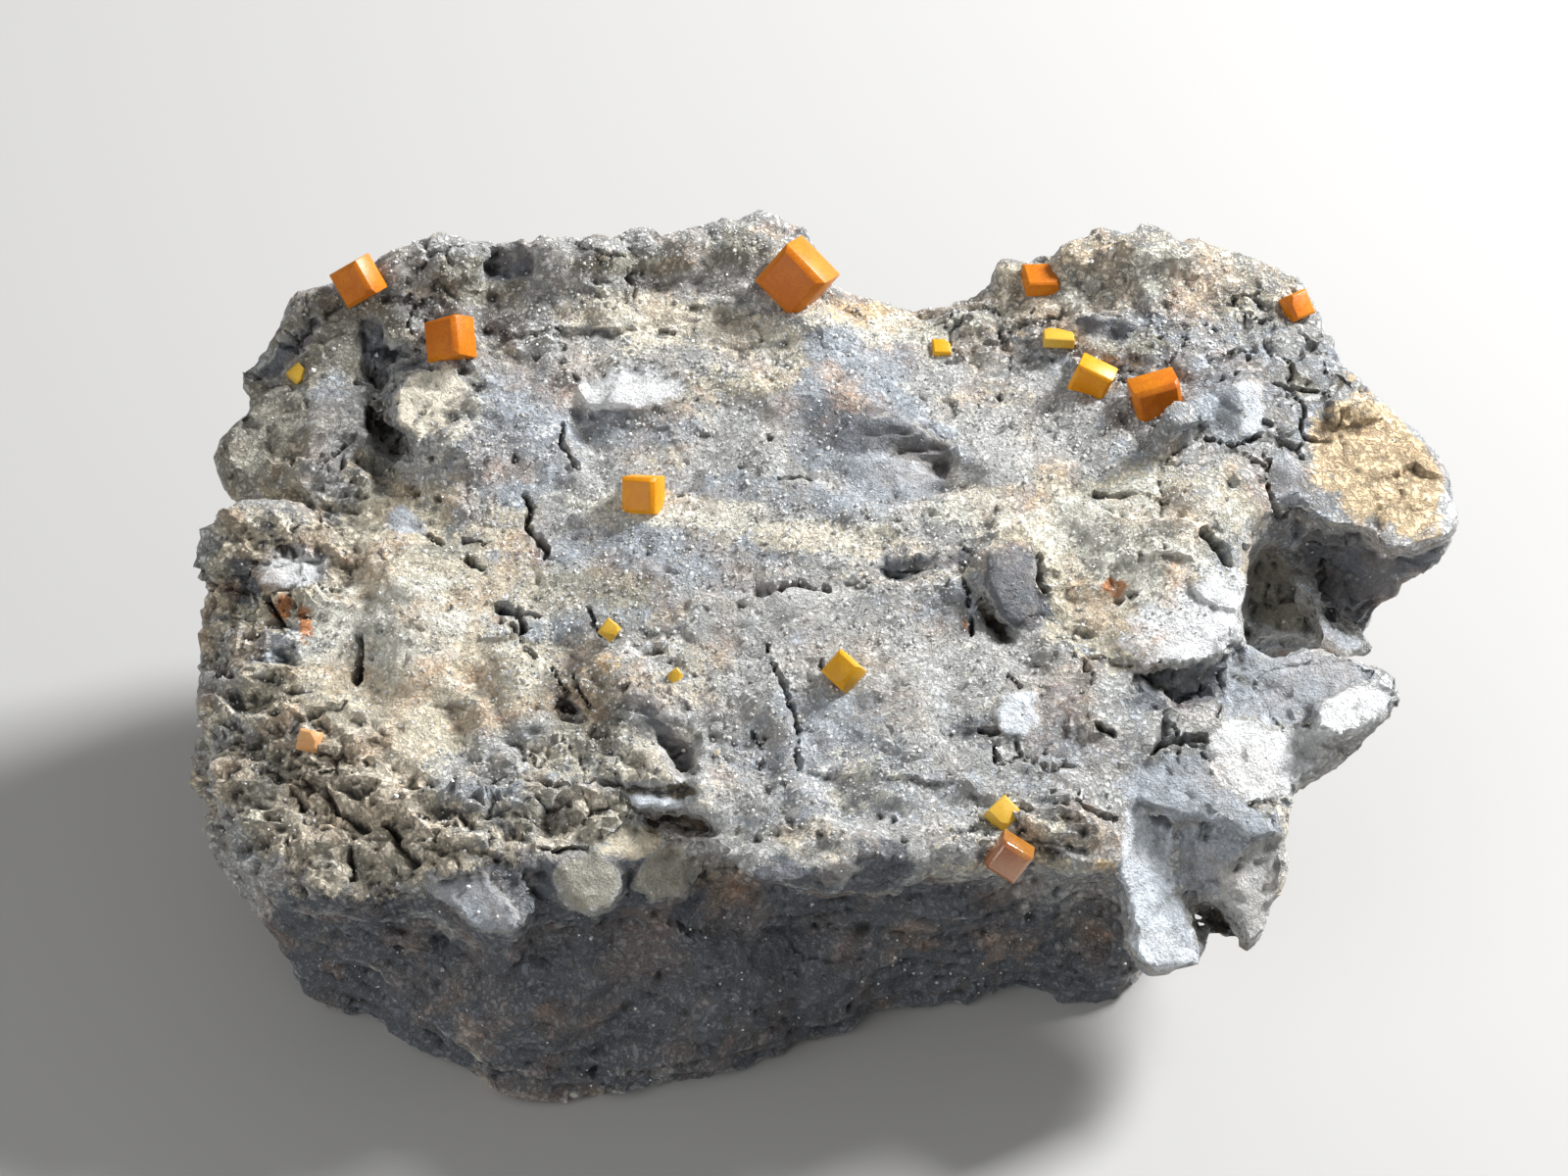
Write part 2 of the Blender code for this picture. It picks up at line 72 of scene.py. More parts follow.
@dataclass(frozen=True)
class View:
    """The viewpoint that the specimen is looked at from."""

    elevation: float = math.radians(45)
    distance: float = 600.0
    target: Place = (-2.991, 5.822, 17.3)
    pixel: float = 0.07
    width: int = 1600
    height: int = 1200
    sensor: float = 36.0
    clip_M: tuple[float, float] = (0.01, 10.0)

    def axes(self) -> tuple[Array, Array, Array]:
        """Give the picture's right, up and outward directions.

        Returns:
            Three unit vectors.
        """
        lean = self.elevation
        right = np.array([1.0, 0.0, 0.0])
        up = np.array([0.0, math.sin(lean), math.cos(lean)])
        out = np.array([0.0, -math.cos(lean), math.sin(lean)])
        return right, up, out

    def turned(self, direction: Direction) -> Array:
        """Turn a direction given as right, up and out of the picture into the room's.

        Args:
            direction: How far right, up and out it goes.

        Returns:
            A unit vector.
        """
        right, up, out = self.axes()
        facing = right * direction[0] + up * direction[1] + out * direction[2]
        return facing / np.linalg.norm(facing)

    def eye(self) -> Array:
        """Return where the viewer is."""
        return np.array(self.target) + self.axes()[2] * self.distance

    def to_pixels(self, points: Array) -> Array:
        """Project points into the picture.

        Args:
            points: Points, one a row.

        Returns:
            Their pixels, one a row.
        """
        right, up, out = self.axes()
        offsets = points - np.array(self.target)
        growth = self.distance / (self.distance - offsets @ out) / self.pixel
        across = self.width / 2 + (offsets @ right) * growth
        down = self.height / 2 - (offsets @ up) * growth
        return np.stack([across, down], axis=1)

    def sight(self, pixel: Pixel) -> Array:
        """Give the direction in which a pixel is seen.

        Args:
            pixel: The pixel.

        Returns:
            A unit vector away from the viewer.
        """
        right, up, _ = self.axes()
        across = (pixel[0] - self.width / 2) * self.pixel
        above = (self.height / 2 - pixel[1]) * self.pixel
        along = np.array(self.target) + right * across + up * above - self.eye()
        return along / np.linalg.norm(along)

    def add_camera(self) -> None:
        """Put the scene's camera at the viewpoint."""
        data = bpy.data.cameras.new("view")
        data.sensor_width = self.sensor
        data.lens = self.sensor * self.distance / (self.width * self.pixel)
        data.clip_start, data.clip_end = self.clip_M
        camera = add_object("view", data)
        aim(camera, Vector(self.eye()) * MM, Vector(self.axes()[2]))
        bpy.context.scene.camera = camera


VIEW = View()


def add_object(name: str, data: bpy.types.ID) -> bpy.types.Object:
    """Put data in the scene as an object.

    Args:
        name: The object's name.
        data: Its mesh, camera or light.

    Returns:
        The object.
    """
    made = bpy.data.objects.new(name, data)
    bpy.context.scene.collection.objects.link(made)
    return made


def aim(piece: bpy.types.Object, place: Vector, back: Vector) -> None:
    """Hang a camera or a light with its back to a direction.

    Args:
        piece: The camera or light.
        place: Where it hangs, in metres.
        back: The direction behind it.
    """
    piece.location = place
    piece.rotation_mode = "QUATERNION"
    piece.rotation_quaternion = back.to_track_quat("Z", "Y")


def select_only(piece: bpy.types.Object) -> None:
    """Make one object the only one selected.

    Args:
        piece: The object.
    """
    bpy.ops.object.select_all(action="DESELECT")
    piece.select_set(True)
    bpy.context.view_layer.objects.active = piece


def apply_modifier(piece: bpy.types.Object, kind: str, **settings: object) -> None:
    """Give an object a modifier and apply it.

    Args:
        piece: The object.
        kind: The modifier's kind.
        settings: Its settings by name.
    """
    select_only(piece)
    made = piece.modifiers.new(kind.lower(), kind)
    for name, value in settings.items():
        setattr(made, name, value)
    bpy.ops.object.modifier_apply(modifier=made.name)


def by_axis(make: Callable[[int], Array]) -> Array:
    """Set what is made for each of the three axes side by side."""
    return np.stack([make(axis) for axis in range(3)], axis=1)


def unit(rows: Array) -> Array:
    """Bring each row to a length of 1."""
    return rows / np.linalg.norm(rows, axis=1)[:, None]


def scatter(cells: Array, seed: int) -> Array:
    """Give each whole-numbered cell a number of its own.

    Args:
        cells: Whole numbers, three a row.
        seed: Which set of numbers.

    Returns:
        A number from 0 to 1 for each row.
    """
    mixed = cells[:, 0] * 73856093 + cells[:, 1] * 19349663 + cells[:, 2] * 83492791 + seed * 40503
    mixed = (mixed ^ (mixed >> 13)) & 0xFFFFFFFF
    mixed = (mixed * 1274126177) & 0xFFFFFFFF
    mixed = (mixed ^ (mixed >> 15)) & 0xFFFFFFFF
    mixed = (mixed * 2246822519) & 0xFFFFFFFF
    return ((mixed ^ (mixed >> 16)) & 0xFFFFFF) / float(0xFFFFFF)


def drift(points: Array, size: float, seed: int) -> Array:
    """Give smooth noise.

    Args:
        points: Points, one a row.
        size: How far apart its hills are.
        seed: Which noise.

    Returns:
        A number from -1 to 1 for each point.
    """
    at = points / size
    low = np.floor(at).astype(np.int64)
    part = at - low
    part = part * part * (3.0 - 2.0 * part)
    total = np.zeros(len(points))
    for corner in product((0, 1), repeat=3):
        share = np.prod(np.where(np.array(corner), part, 1.0 - part), axis=1)
        total += share * scatter(low + np.array(corner), seed)
    return total * 2.0 - 1.0


def layered(points: Array, size: float, seed: int, layers: int = 4, crest: bool = False) -> Array:
    """Give noise with finer and finer layers.

    Args:
        points: Points, one a row.
        size: How far apart the coarsest layer's hills are.
        seed: Which noise.
        layers: How many layers, each half the size of the one before.
        crest: Whether the hills are sharp ridges.

    Returns:
        A number from about -1 to 1 for each point.
    """
    total = np.zeros(len(points))
    for layer in range(layers):
        height = drift(points, size / 2**layer, seed + layer)
        total += ((1.0 - 2.0 * np.abs(height)) if crest else height) * 0.5**layer
    return total / LAYERS_HEIGHT


@dataclass(frozen=True)
class Noise:
    """A layered noise that is used by name: how far apart its hills are, which one it is and its height."""

    size: float
    seed: int
    layers: int = 4
    height: float = 1.0
    crest: bool = False

    def at(self, points: Array) -> Array:
        """Return its height at each point."""
        return layered(points, self.size, self.seed, self.layers, self.crest) * self.height


@dataclass
class Stones:
    """The stone of a crazed pattern that each point lies in."""

    near: Array
    second: Array
    number: Array

    @classmethod
    def around(cls, points: Array, size: float, seed: int) -> "Stones":
        """Find each point's stone.

        Args:
            points: Points, one a row.
            size: The stones' usual width.
            seed: Which pattern.

        Returns:
            The distances to the two nearest centres, in widths, and the nearest one's number.
        """
        at = points / size
        low = np.floor(at - 0.5).astype(np.int64)
        near = np.full(len(at), np.inf)
        second = np.full(len(at), np.inf)
        number = np.zeros(len(at))
        for step in product((0, 1), repeat=3):
            cell = low + np.array(step)
            centre = cell + 0.12 + 0.76 * by_axis(lambda axis: scatter(cell, seed + axis))
            gap = np.linalg.norm(at - centre, axis=1)
            closer = gap < near
            second = np.where(closer, near, np.minimum(second, gap))
            number = np.where(closer, scatter(cell, seed + 3), number)
            near = np.where(closer, gap, near)
        return cls(near, second, number)


def ramp(values: Array, low: float, high: float) -> Array:
    """Rise smoothly from 0 at low to 1 at high.

    Args:
        values: What to read.
        low: Where the rise starts.
        high: Where it ends.

    Returns:
        Numbers from 0 to 1.
    """
    share = np.clip((values - low) / (high - low), 0.0, 1.0)
    return share * share * (3.0 - 2.0 * share)


def read_rows(items: object, name: str, width: int, kind: type = np.float32) -> Array:
    """Read a value of each of a mesh's items.

    Args:
        items: The mesh's points, edges or faces, or a layer's values.
        name: The value's name.
        width: How many numbers it has.
        kind: The type of its numbers.

    Returns:
        The values, one a row.
    """
    flat = np.empty(len(items) * width, dtype=kind)
    items.foreach_get(name, flat)
    return flat.reshape(-1, width)


def read_points(mesh: bpy.types.Mesh) -> Array:
    """Return a mesh's points in millimetres, one a row."""
    return read_rows(mesh.vertices, "co", 3).astype(float) / MM


def write_points(mesh: bpy.types.Mesh, points: Array) -> None:
    """Set a mesh's points from millimetres."""
    mesh.vertices.foreach_set("co", (points * MM).astype(np.float32).ravel())
    mesh.update()


def read_normals(mesh: bpy.types.Mesh) -> Array:
    """Return a mesh's outward directions at its points, one a row."""
    return read_rows(mesh.vertex_normals, "vector", 3).astype(float)


def read_edges(mesh: bpy.types.Mesh) -> Array:
    """Return the two points of each edge, one edge a row."""
    return read_rows(mesh.edges, "vertices", 2, np.int32)


def neighbour_mean(values: Array, edges: Array) -> Array:
    """Average each point's neighbours.

    Args:
        values: One row for each point.
        edges: The two points of each edge.

    Returns:
        The neighbours' mean, one row for each point.
    """
    count = np.bincount(edges.ravel(), minlength=len(values))
    sums = np.empty_like(values)
    for column in range(values.shape[1]):
        there = np.bincount(edges[:, 0], weights=values[edges[:, 1], column], minlength=len(values))
        back = np.bincount(edges[:, 1], weights=values[edges[:, 0], column], minlength=len(values))
        sums[:, column] = there + back
    return sums / np.maximum(count, 1)[:, None]


def relax(values: Array, edges: Array, passes: int, share: Array | float = 0.6) -> Array:
    """Draw each point towards its neighbours.

    Args:
        values: One row for each point.
        edges: The two points of each edge.
        passes: How many times.
        share: How far towards them, for all or for each point.

    Returns:
        The smoothed rows.
    """
    for _ in range(passes):
        values = values + (neighbour_mean(values, edges) - values) * share
    return values


class Ground(Enum):
    """The kinds of broken surface on the lump."""

    CALM = "calm"
    CRUMBLY = "crumbly"
    BLOCKY = "blocky"
    NODULAR = "nodular"
    SLATY = "slaty"


class Tone(Enum):
    """The colours of the rock, as linear light."""

    # Dark slate: the rock's own slate lenses and patches, and also painted shade on sunken faces, under
    # ledges and over the front underside.
    SLATE_AND_SHADE = (0.130, 0.142, 0.160)
    BLUE_GREY = (0.335, 0.365, 0.400)
    GREY = (0.43, 0.435, 0.425)
    # Bluish pale grey; where it stands for the lit corner strip it is made paler, partly as a painted
    # highlight.
    PALE_GREY = (0.58, 0.625, 0.675)
    TAN = (0.60, 0.55, 0.43)
    CREAM = (0.67, 0.625, 0.515)
    WHITE = (0.645, 0.66, 0.67)
    OCHRE = (0.70, 0.54, 0.34)
    RUST = (0.50, 0.20, 0.075)
    # Near black: painted shadow in the deep cavities, undercuts and crevices.
    CAVITY_SHADOW = (0.085, 0.072, 0.052)
    # Dull brown-grey: the rock's own darker ground, and also painted shade on shadowy ledges, recesses and
    # the lumps of the front underside.
    DUN_AND_SHADE = (0.32, 0.31, 0.26)
    IVORY = (0.66, 0.65, 0.57)
    BLUSH = (0.60, 0.40, 0.24)
    STRAW = (0.60, 0.54, 0.43)


@dataclass(frozen=True)
class Patch:
    """A soft oval area of the picture."""

    at: Pixel
    half: Pixel
    turn: float = 0.0
    strength: float = 1.0
    softness: float = 0.3

    def reach(self, pixels: Array, warp: Array) -> Array:
        """Say how much of the patch each pixel has.

        Args:
            pixels: Pixels, one a row.
            warp: How much each one's distance is changed, so that the edge wanders.

        Returns:
            A number from 0 to the patch's strength for each pixel.
        """
        lean = math.radians(self.turn)
        offsets = pixels - np.array(self.at)
        along = (offsets[:, 0] * math.cos(lean) - offsets[:, 1] * math.sin(lean)) / self.half[0]
        across = (offsets[:, 0] * math.sin(lean) + offsets[:, 1] * math.cos(lean)) / self.half[1]
        away = np.sqrt(along * along + across * across) + warp
        return (1.0 - ramp(away, 1.0 - self.softness, 1.0 + self.softness)) * self.strength


@dataclass(frozen=True)
class Stroke:
    """A crack drawn on the picture. It swells and pinches, and its bed is a share of its width."""

    path: tuple[Pixel, ...]
    width: float
    height: float
    swell: float = 0.9
    usual: float = 0.62
    limits: tuple[float, float] = (0.12, 1.3)
    bed: float = 0.35

    def profile(self, pixels: Array, warp: Array) -> Array:
        """Say how far the stroke lifts each pixel's point.

        Args:
            pixels: Pixels, one a row.
            warp: Where the stroke swells and pinches, from -1 to 1.

        Returns:
            A height in millimetres for each pixel, below 0 in a crack.
        """
        away, _ = nearest_on(self.path, pixels)
        width = self.width * np.clip(self.usual + warp * self.swell, *self.limits)
        return (1.0 - ramp(away * VIEW.pixel / width, self.bed, 1.0)) * self.height


@dataclass(frozen=True)
class Ledge:
    """A broken edge drawn on the picture, with the side on its left standing higher."""

    path: tuple[Pixel, ...]
    height: float
    reach: float = 5.0
    slope: float = 0.35
    wander: float = 0.4
    kept: float = 0.3

    def profile(self, pixels: Array, warp: Array) -> Array:
        """Say how far the ledge lifts each pixel's point.

        Args:
            pixels: Pixels, one a row.
            warp: How far each one is from where it is drawn, from -1 to 1.

        Returns:
            A height in millimetres for each pixel.
        """
        away, side = nearest_on(self.path, pixels)
        signed = away * VIEW.pixel * side + warp * self.wander
        fade = 1.0 - ramp(away * VIEW.pixel, self.reach * self.kept, self.reach)
        return (ramp(signed, -self.slope, self.slope) - 0.5) * self.height * fade


@dataclass(frozen=True)
class Boulder:
    """A lump that is grown on to the rock at a pixel, sunk below the skin about another pixel."""

    at: Pixel
    radius: float
    level: Pixel
    sink: float
    about: float = 14.0

    def grow(self, rock: bpy.types.Object) -> bpy.types.Object:
        """Make the lump.

        Args:
            rock: The rock that it is set on.

        Returns:
            The lump as an object of its own.
        """
        points = read_points(rock.data)
        pixels = VIEW.to_pixels(points)
        eye = VIEW.eye()
        near = np.linalg.norm(pixels - np.array(self.level), axis=1)
        distance = np.linalg.norm(points[near < self.about] - eye, axis=1).min()
        centre = eye + VIEW.sight(self.at) * (distance + self.sink)
        bpy.ops.object.select_all(action="DESELECT")
        bpy.ops.mesh.primitive_ico_sphere_add(subdivisions=2, radius=self.radius * MM, location=centre * MM)
        return bpy.context.object


@dataclass(frozen=True)
class Facet:
    """A broken face drawn on the picture: its outline, the way it faces and its tone."""

    outline: tuple[Pixel, ...]
    facing: Direction
    lift: float = 0.0
    tone: Tone | None = None
    edge: float = 0.22
    reach: float = 3.2
    fewest: int = 6
    hollow_from: float = -0.2

    @property
    def raised(self) -> bool:
        """Say whether the face stands above the floor of a dug-out pocket."""
        return self.lift > self.hollow_from

    def inside(self, pixels: Array, edge: float) -> Array:
        """Say how far inside the outline each pixel is.

        Args:
            pixels: Pixels, one a row.
            edge: How wide the outline's own blur is, in millimetres.

        Returns:
            A number from 0 outside to 1 inside for each pixel.
        """
        closed = self.outline + self.outline[:1]
        away, _ = nearest_on(closed, pixels)
        within = np.zeros(len(pixels), dtype=bool)
        for (left, top), (right, bottom) in zip(closed[:-1], closed[1:]):
            crosses = (top > pixels[:, 1]) != (bottom > pixels[:, 1])
            slope = (right - left) / (bottom - top if bottom != top else 1e-9)
            within ^= crosses & (pixels[:, 0] < left + (pixels[:, 1] - top) * slope)
        return ramp(np.where(within, away, -away) * VIEW.pixel, -edge, edge)

    def flatten(self, points: Array, pixels: Array, seen: Array) -> Array:
        """Move the seen points inside the outline on to the face, each along its own line of sight.

        Args:
            points: The skin's points.
            pixels: Where each is in the picture.
            seen: How well each is seen, from 0 to 1.

        Returns:
            The moved points.
        """
        share = self.inside(pixels, self.edge) * seen
        chosen = share > 0.5
        if chosen.sum() < self.fewest:
            return points
        facing = VIEW.turned(self.facing)
        eye = VIEW.eye()
        away = points - eye
        distance = np.linalg.norm(away, axis=1)
        sight = away / distance[:, None]
        centre = points[chosen].mean(axis=0) + VIEW.axes()[2] * self.lift
        target = ((centre - eye) @ facing) / (sight @ facing)
        move = np.clip(target - distance, -self.reach, self.reach) * share
        return points + sight * move[:, None]


def nearest_on(path: tuple[Pixel, ...], pixels: Array) -> tuple[Array, Array]:
    """Measure pixels against a line of several stretches.

    Args:
        path: The line's corners.
        pixels: Pixels, one a row.

    Returns:
        Each pixel's distance to the line, and 1 on the line's left or -1 on its right.
    """
    best = np.full(len(pixels), np.inf)
    side = np.ones(len(pixels))
    for start, end in zip(path[:-1], path[1:]):
        start_at = np.array(start, float)
        along = np.array(end, float) - start_at
        offsets = pixels - start_at
        share = np.clip(offsets @ along / (along @ along), 0.0, 1.0)
        gap = np.linalg.norm(offsets - share[:, None] * along, axis=1)
        turn = along[0] * offsets[:, 1] - along[1] * offsets[:, 0]
        closer = gap < best
        side = np.where(closer, np.where(turn < 0, 1.0, -1.0), side)
        best = np.where(closer, gap, best)
    return best, side


def ovals(*rows: tuple[float, ...]) -> tuple[Patch, ...]:
    """Make patches, each from its place, its half sizes and, if wanted, its turn, strength and softness."""
    return tuple(Patch((x, y), (across, down), *rest) for x, y, across, down, *rest in rows)


GROUNDS: dict[Ground, tuple[Patch, ...]] = {
    Ground.CALM: ovals(
        (1165, 560, 110, 100, 0, 2.6), (640, 430, 90, 60, 0, 1.2), (760, 560, 330, 240, 0, 1.4),
        (820, 740, 230, 110, -8, 1.2), (480, 660, 160, 90, 0, 1.1), (440, 735, 115, 62, -18, 2.0),
        (1010, 440, 170, 60, -8, 1.0),
    ),
    Ground.CRUMBLY: ovals(
        (350, 830, 150, 90, -25, 2.2), (580, 800, 100, 85, 0, 1.6), (640, 720, 70, 80, 35, 1.4),
        (240, 700, 55, 150, 0, 1.2), (950, 585, 90, 28, 0, 1.0), (1090, 660, 40, 60, 0, 0.9),
        (280, 580, 70, 50, 0, 1.0), (440, 400, 70, 70, 0, 1.0),
    ),
    Ground.BLOCKY: ovals(
        (1240, 850, 110, 160, 0, 2.2), (1310, 710, 130, 80, 25, 2.2), (1400, 500, 130, 150, 0, 1.8),
        (1270, 430, 90, 70, 0, 1.6), (880, 440, 90, 50, -10, 1.0), (1035, 605, 40, 60, 0, 1.6),
        (1100, 740, 90, 60, 0, 1.2), (260, 400, 110, 110, 40, 1.6), (560, 910, 150, 50, 0, 1.4),
    ),
    Ground.NODULAR: ovals(
        (1190, 290, 210, 70, 0, 1.8), (760, 255, 190, 45, 0, 1.6), (470, 290, 130, 60, 0, 1.2),
        (1190, 480, 110, 60, 0, 1.2),
    ),
    Ground.SLATY: ovals(
        (700, 980, 560, 110, 0, 2.4),
    ),
}

# Leans the rubble's pattern, so that its ridges run slantwise.
RUBBLE_LEAN = np.array([[0.55, 0.0, 0.0], [0.45, 1.0, 0.0], [0.3, 0.0, 1.0]])

# Each ground's broken faces: their width, how far they lean, their seed and how flat they are.
BREAKAGE: tuple[tuple[Ground, float, float, int, float], ...] = (
    (Ground.BLOCKY, 4.2, 0.45, 31, 0.85),
    (Ground.BLOCKY, 1.7, 0.45, 41, 0.8),
    (Ground.SLATY, 2.4, 0.45, 51, 0.6),
    (Ground.CRUMBLY, 2.6, 0.9, 55, 0.75),
    (Ground.CRUMBLY, 1.1, 0.9, 57, 0.8),
    (Ground.NODULAR, 1.3, 0.6, 59, 0.5),
    (Ground.CALM, 1.2, 0.35, 53, 0.5),
)

CRACKS: tuple[Stroke, ...] = (
    Stroke(((778, 655), (800, 690), (812, 745), (820, 790)), 0.26, -0.9),
    Stroke(((768, 748), (775, 765)), 0.22, -0.6),
    Stroke(((770, 605), (800, 598), (820, 597), (850, 604)), 0.5, -1.0),
    Stroke(((985, 598), (990, 620), (992, 645)), 0.38, -1.3),
    Stroke(((1120, 506), (1150, 503), (1185, 508)), 0.38, -1.2),
    Stroke(((1228, 540), (1245, 560), (1255, 572)), 0.5, -1.3),
    Stroke(((1055, 568), (1062, 585), (1068, 602)), 0.5, -1.6),
    Stroke(((1000, 745), (1015, 748)), 0.6, -1.5),
    Stroke(((1012, 755), (1018, 772)), 0.28, -0.9),
    Stroke(((1180, 770), (1195, 755), (1215, 748), (1225, 752)), 0.55, -1.5),
    Stroke(((1100, 818), (1120, 828), (1140, 832)), 0.4, -1.3),
    Stroke(((1120, 740), (1135, 752)), 0.3, -0.9),
    Stroke(((1030, 690), (1042, 705)), 0.25, -0.8),
    Stroke(((600, 618), (608, 632), (615, 645)), 0.28, -0.8),
    Stroke(((508, 622), (525, 624), (546, 628)), 0.42, -1.4),
    Stroke(((525, 624), (533, 642)), 0.35, -1.1),
    Stroke(((508, 633), (522, 640), (528, 650)), 0.22, -0.8),
    Stroke(((533, 658), (545, 672)), 0.28, -0.8),
    Stroke(((368, 652), (370, 665), (366, 690)), 0.55, -1.6),
    Stroke(((318, 728), (335, 722), (352, 720)), 0.22, -0.8),
    Stroke(((272, 612), (283, 622), (290, 640)), 0.5, -1.4),
    Stroke(((562, 682), (572, 700), (582, 712)), 0.4, -1.3),
    Stroke(((585, 690), (590, 705), (602, 722)), 0.3, -1.0),
    Stroke(((572, 432), (574, 450), (592, 473)), 0.38, -1.2),
    Stroke(((536, 508), (540, 530), (545, 552), (556, 566)), 0.36, -1.0),
    Stroke(((436, 546), (450, 553)), 0.25, -0.7),
    Stroke(((475, 551), (500, 557)), 0.25, -0.8),
    Stroke(((475, 572), (490, 580)), 0.35, -0.9),
    Stroke(((795, 485), (815, 487), (825, 492)), 0.25, -0.8),
    Stroke(((1290, 470), (1292, 500), (1300, 520)), 0.4, -1.2),
    Stroke(((1235, 445), (1262, 452), (1285, 445)), 0.3, -0.9),
    Stroke(((360, 860), (365, 885), (362, 900)), 0.3, -1.0),
    Stroke(((335, 815), (352, 832), (375, 845)), 0.5, -1.2),
    Stroke(((300, 815), (312, 825)), 0.5, -1.1),
    Stroke(((395, 845), (410, 865), (428, 880)), 0.5, -1.3),
    Stroke(((550, 860), (575, 868), (600, 865)), 0.3, -1.0),
)

LEDGES: tuple[Ledge, ...] = (
    Ledge(((1300, 520), (1275, 480), (1240, 470), (1190, 505), (1120, 508)), 0.9, 4.0),
    Ledge(((975, 505), (900, 515), (870, 500), (800, 488), (795, 455), (830, 425)), 0.7, 3.0),
    Ledge(((600, 480), (575, 430), (590, 395)), 0.7, 3.0),
    Ledge(((850, 830), (820, 790), (812, 745), (800, 690)), 0.5, 2.5),
    Ledge(((1000, 560), (985, 595), (905, 592), (850, 606), (790, 600), (730, 606)), 0.7, 3.5),
    Ledge(((520, 770), (500, 750), (505, 728), (475, 700)), 0.6, 2.5),
    Ledge(((700, 565), (640, 560), (560, 545)), 0.3, 2.5),
)

BOULDERS: tuple[Boulder, ...] = (
    Boulder((318, 322), 2.0, (335, 345), 1.6),
    Boulder((412, 282), 2.2, (415, 305), 1.6),
    Boulder((452, 270), 2.5, (452, 296), 1.8),
    Boulder((492, 268), 1.9, (492, 292), 1.6),
    Boulder((530, 262), 1.7, (535, 290), 2.2),
    Boulder((566, 268), 2.0, (566, 290), 1.8),
    Boulder((612, 266), 2.1, (612, 288), 1.8),
    Boulder((655, 260), 2.2, (655, 285), 1.8),
    Boulder((700, 258), 2.0, (700, 284), 1.8),
    Boulder((738, 248), 1.9, (735, 282), 2.4),
    Boulder((775, 240), 1.9, (740, 284), 3.6),
    Boulder((812, 250), 1.7, (745, 286), 4.4),
    Boulder((1030, 280), 1.4, (1030, 298), 1.8),
    Boulder((1098, 268), 1.9, (1100, 290), 1.8),
    Boulder((1132, 262), 2.1, (1132, 288), 1.8),
    Boulder((1172, 258), 2.1, (1172, 286), 1.8),
    Boulder((1212, 270), 1.6, (1212, 292), 1.6),
    Boulder((255, 550), 2.9, (300, 600), 3.4),
    Boulder((228, 566), 2.0, (260, 620), 3.4),
    Boulder((285, 540), 2.4, (300, 600), 3.0),
    Boulder((1203, 424), 1.35, (1215, 440), -0.5),
    Boulder((1190, 438), 0.9, (1195, 450), 0.0),
    Boulder((1262, 855), 2.2, (1255, 845), 1.4),
    Boulder((1290, 890), 2.0, (1280, 870), 1.6),
)
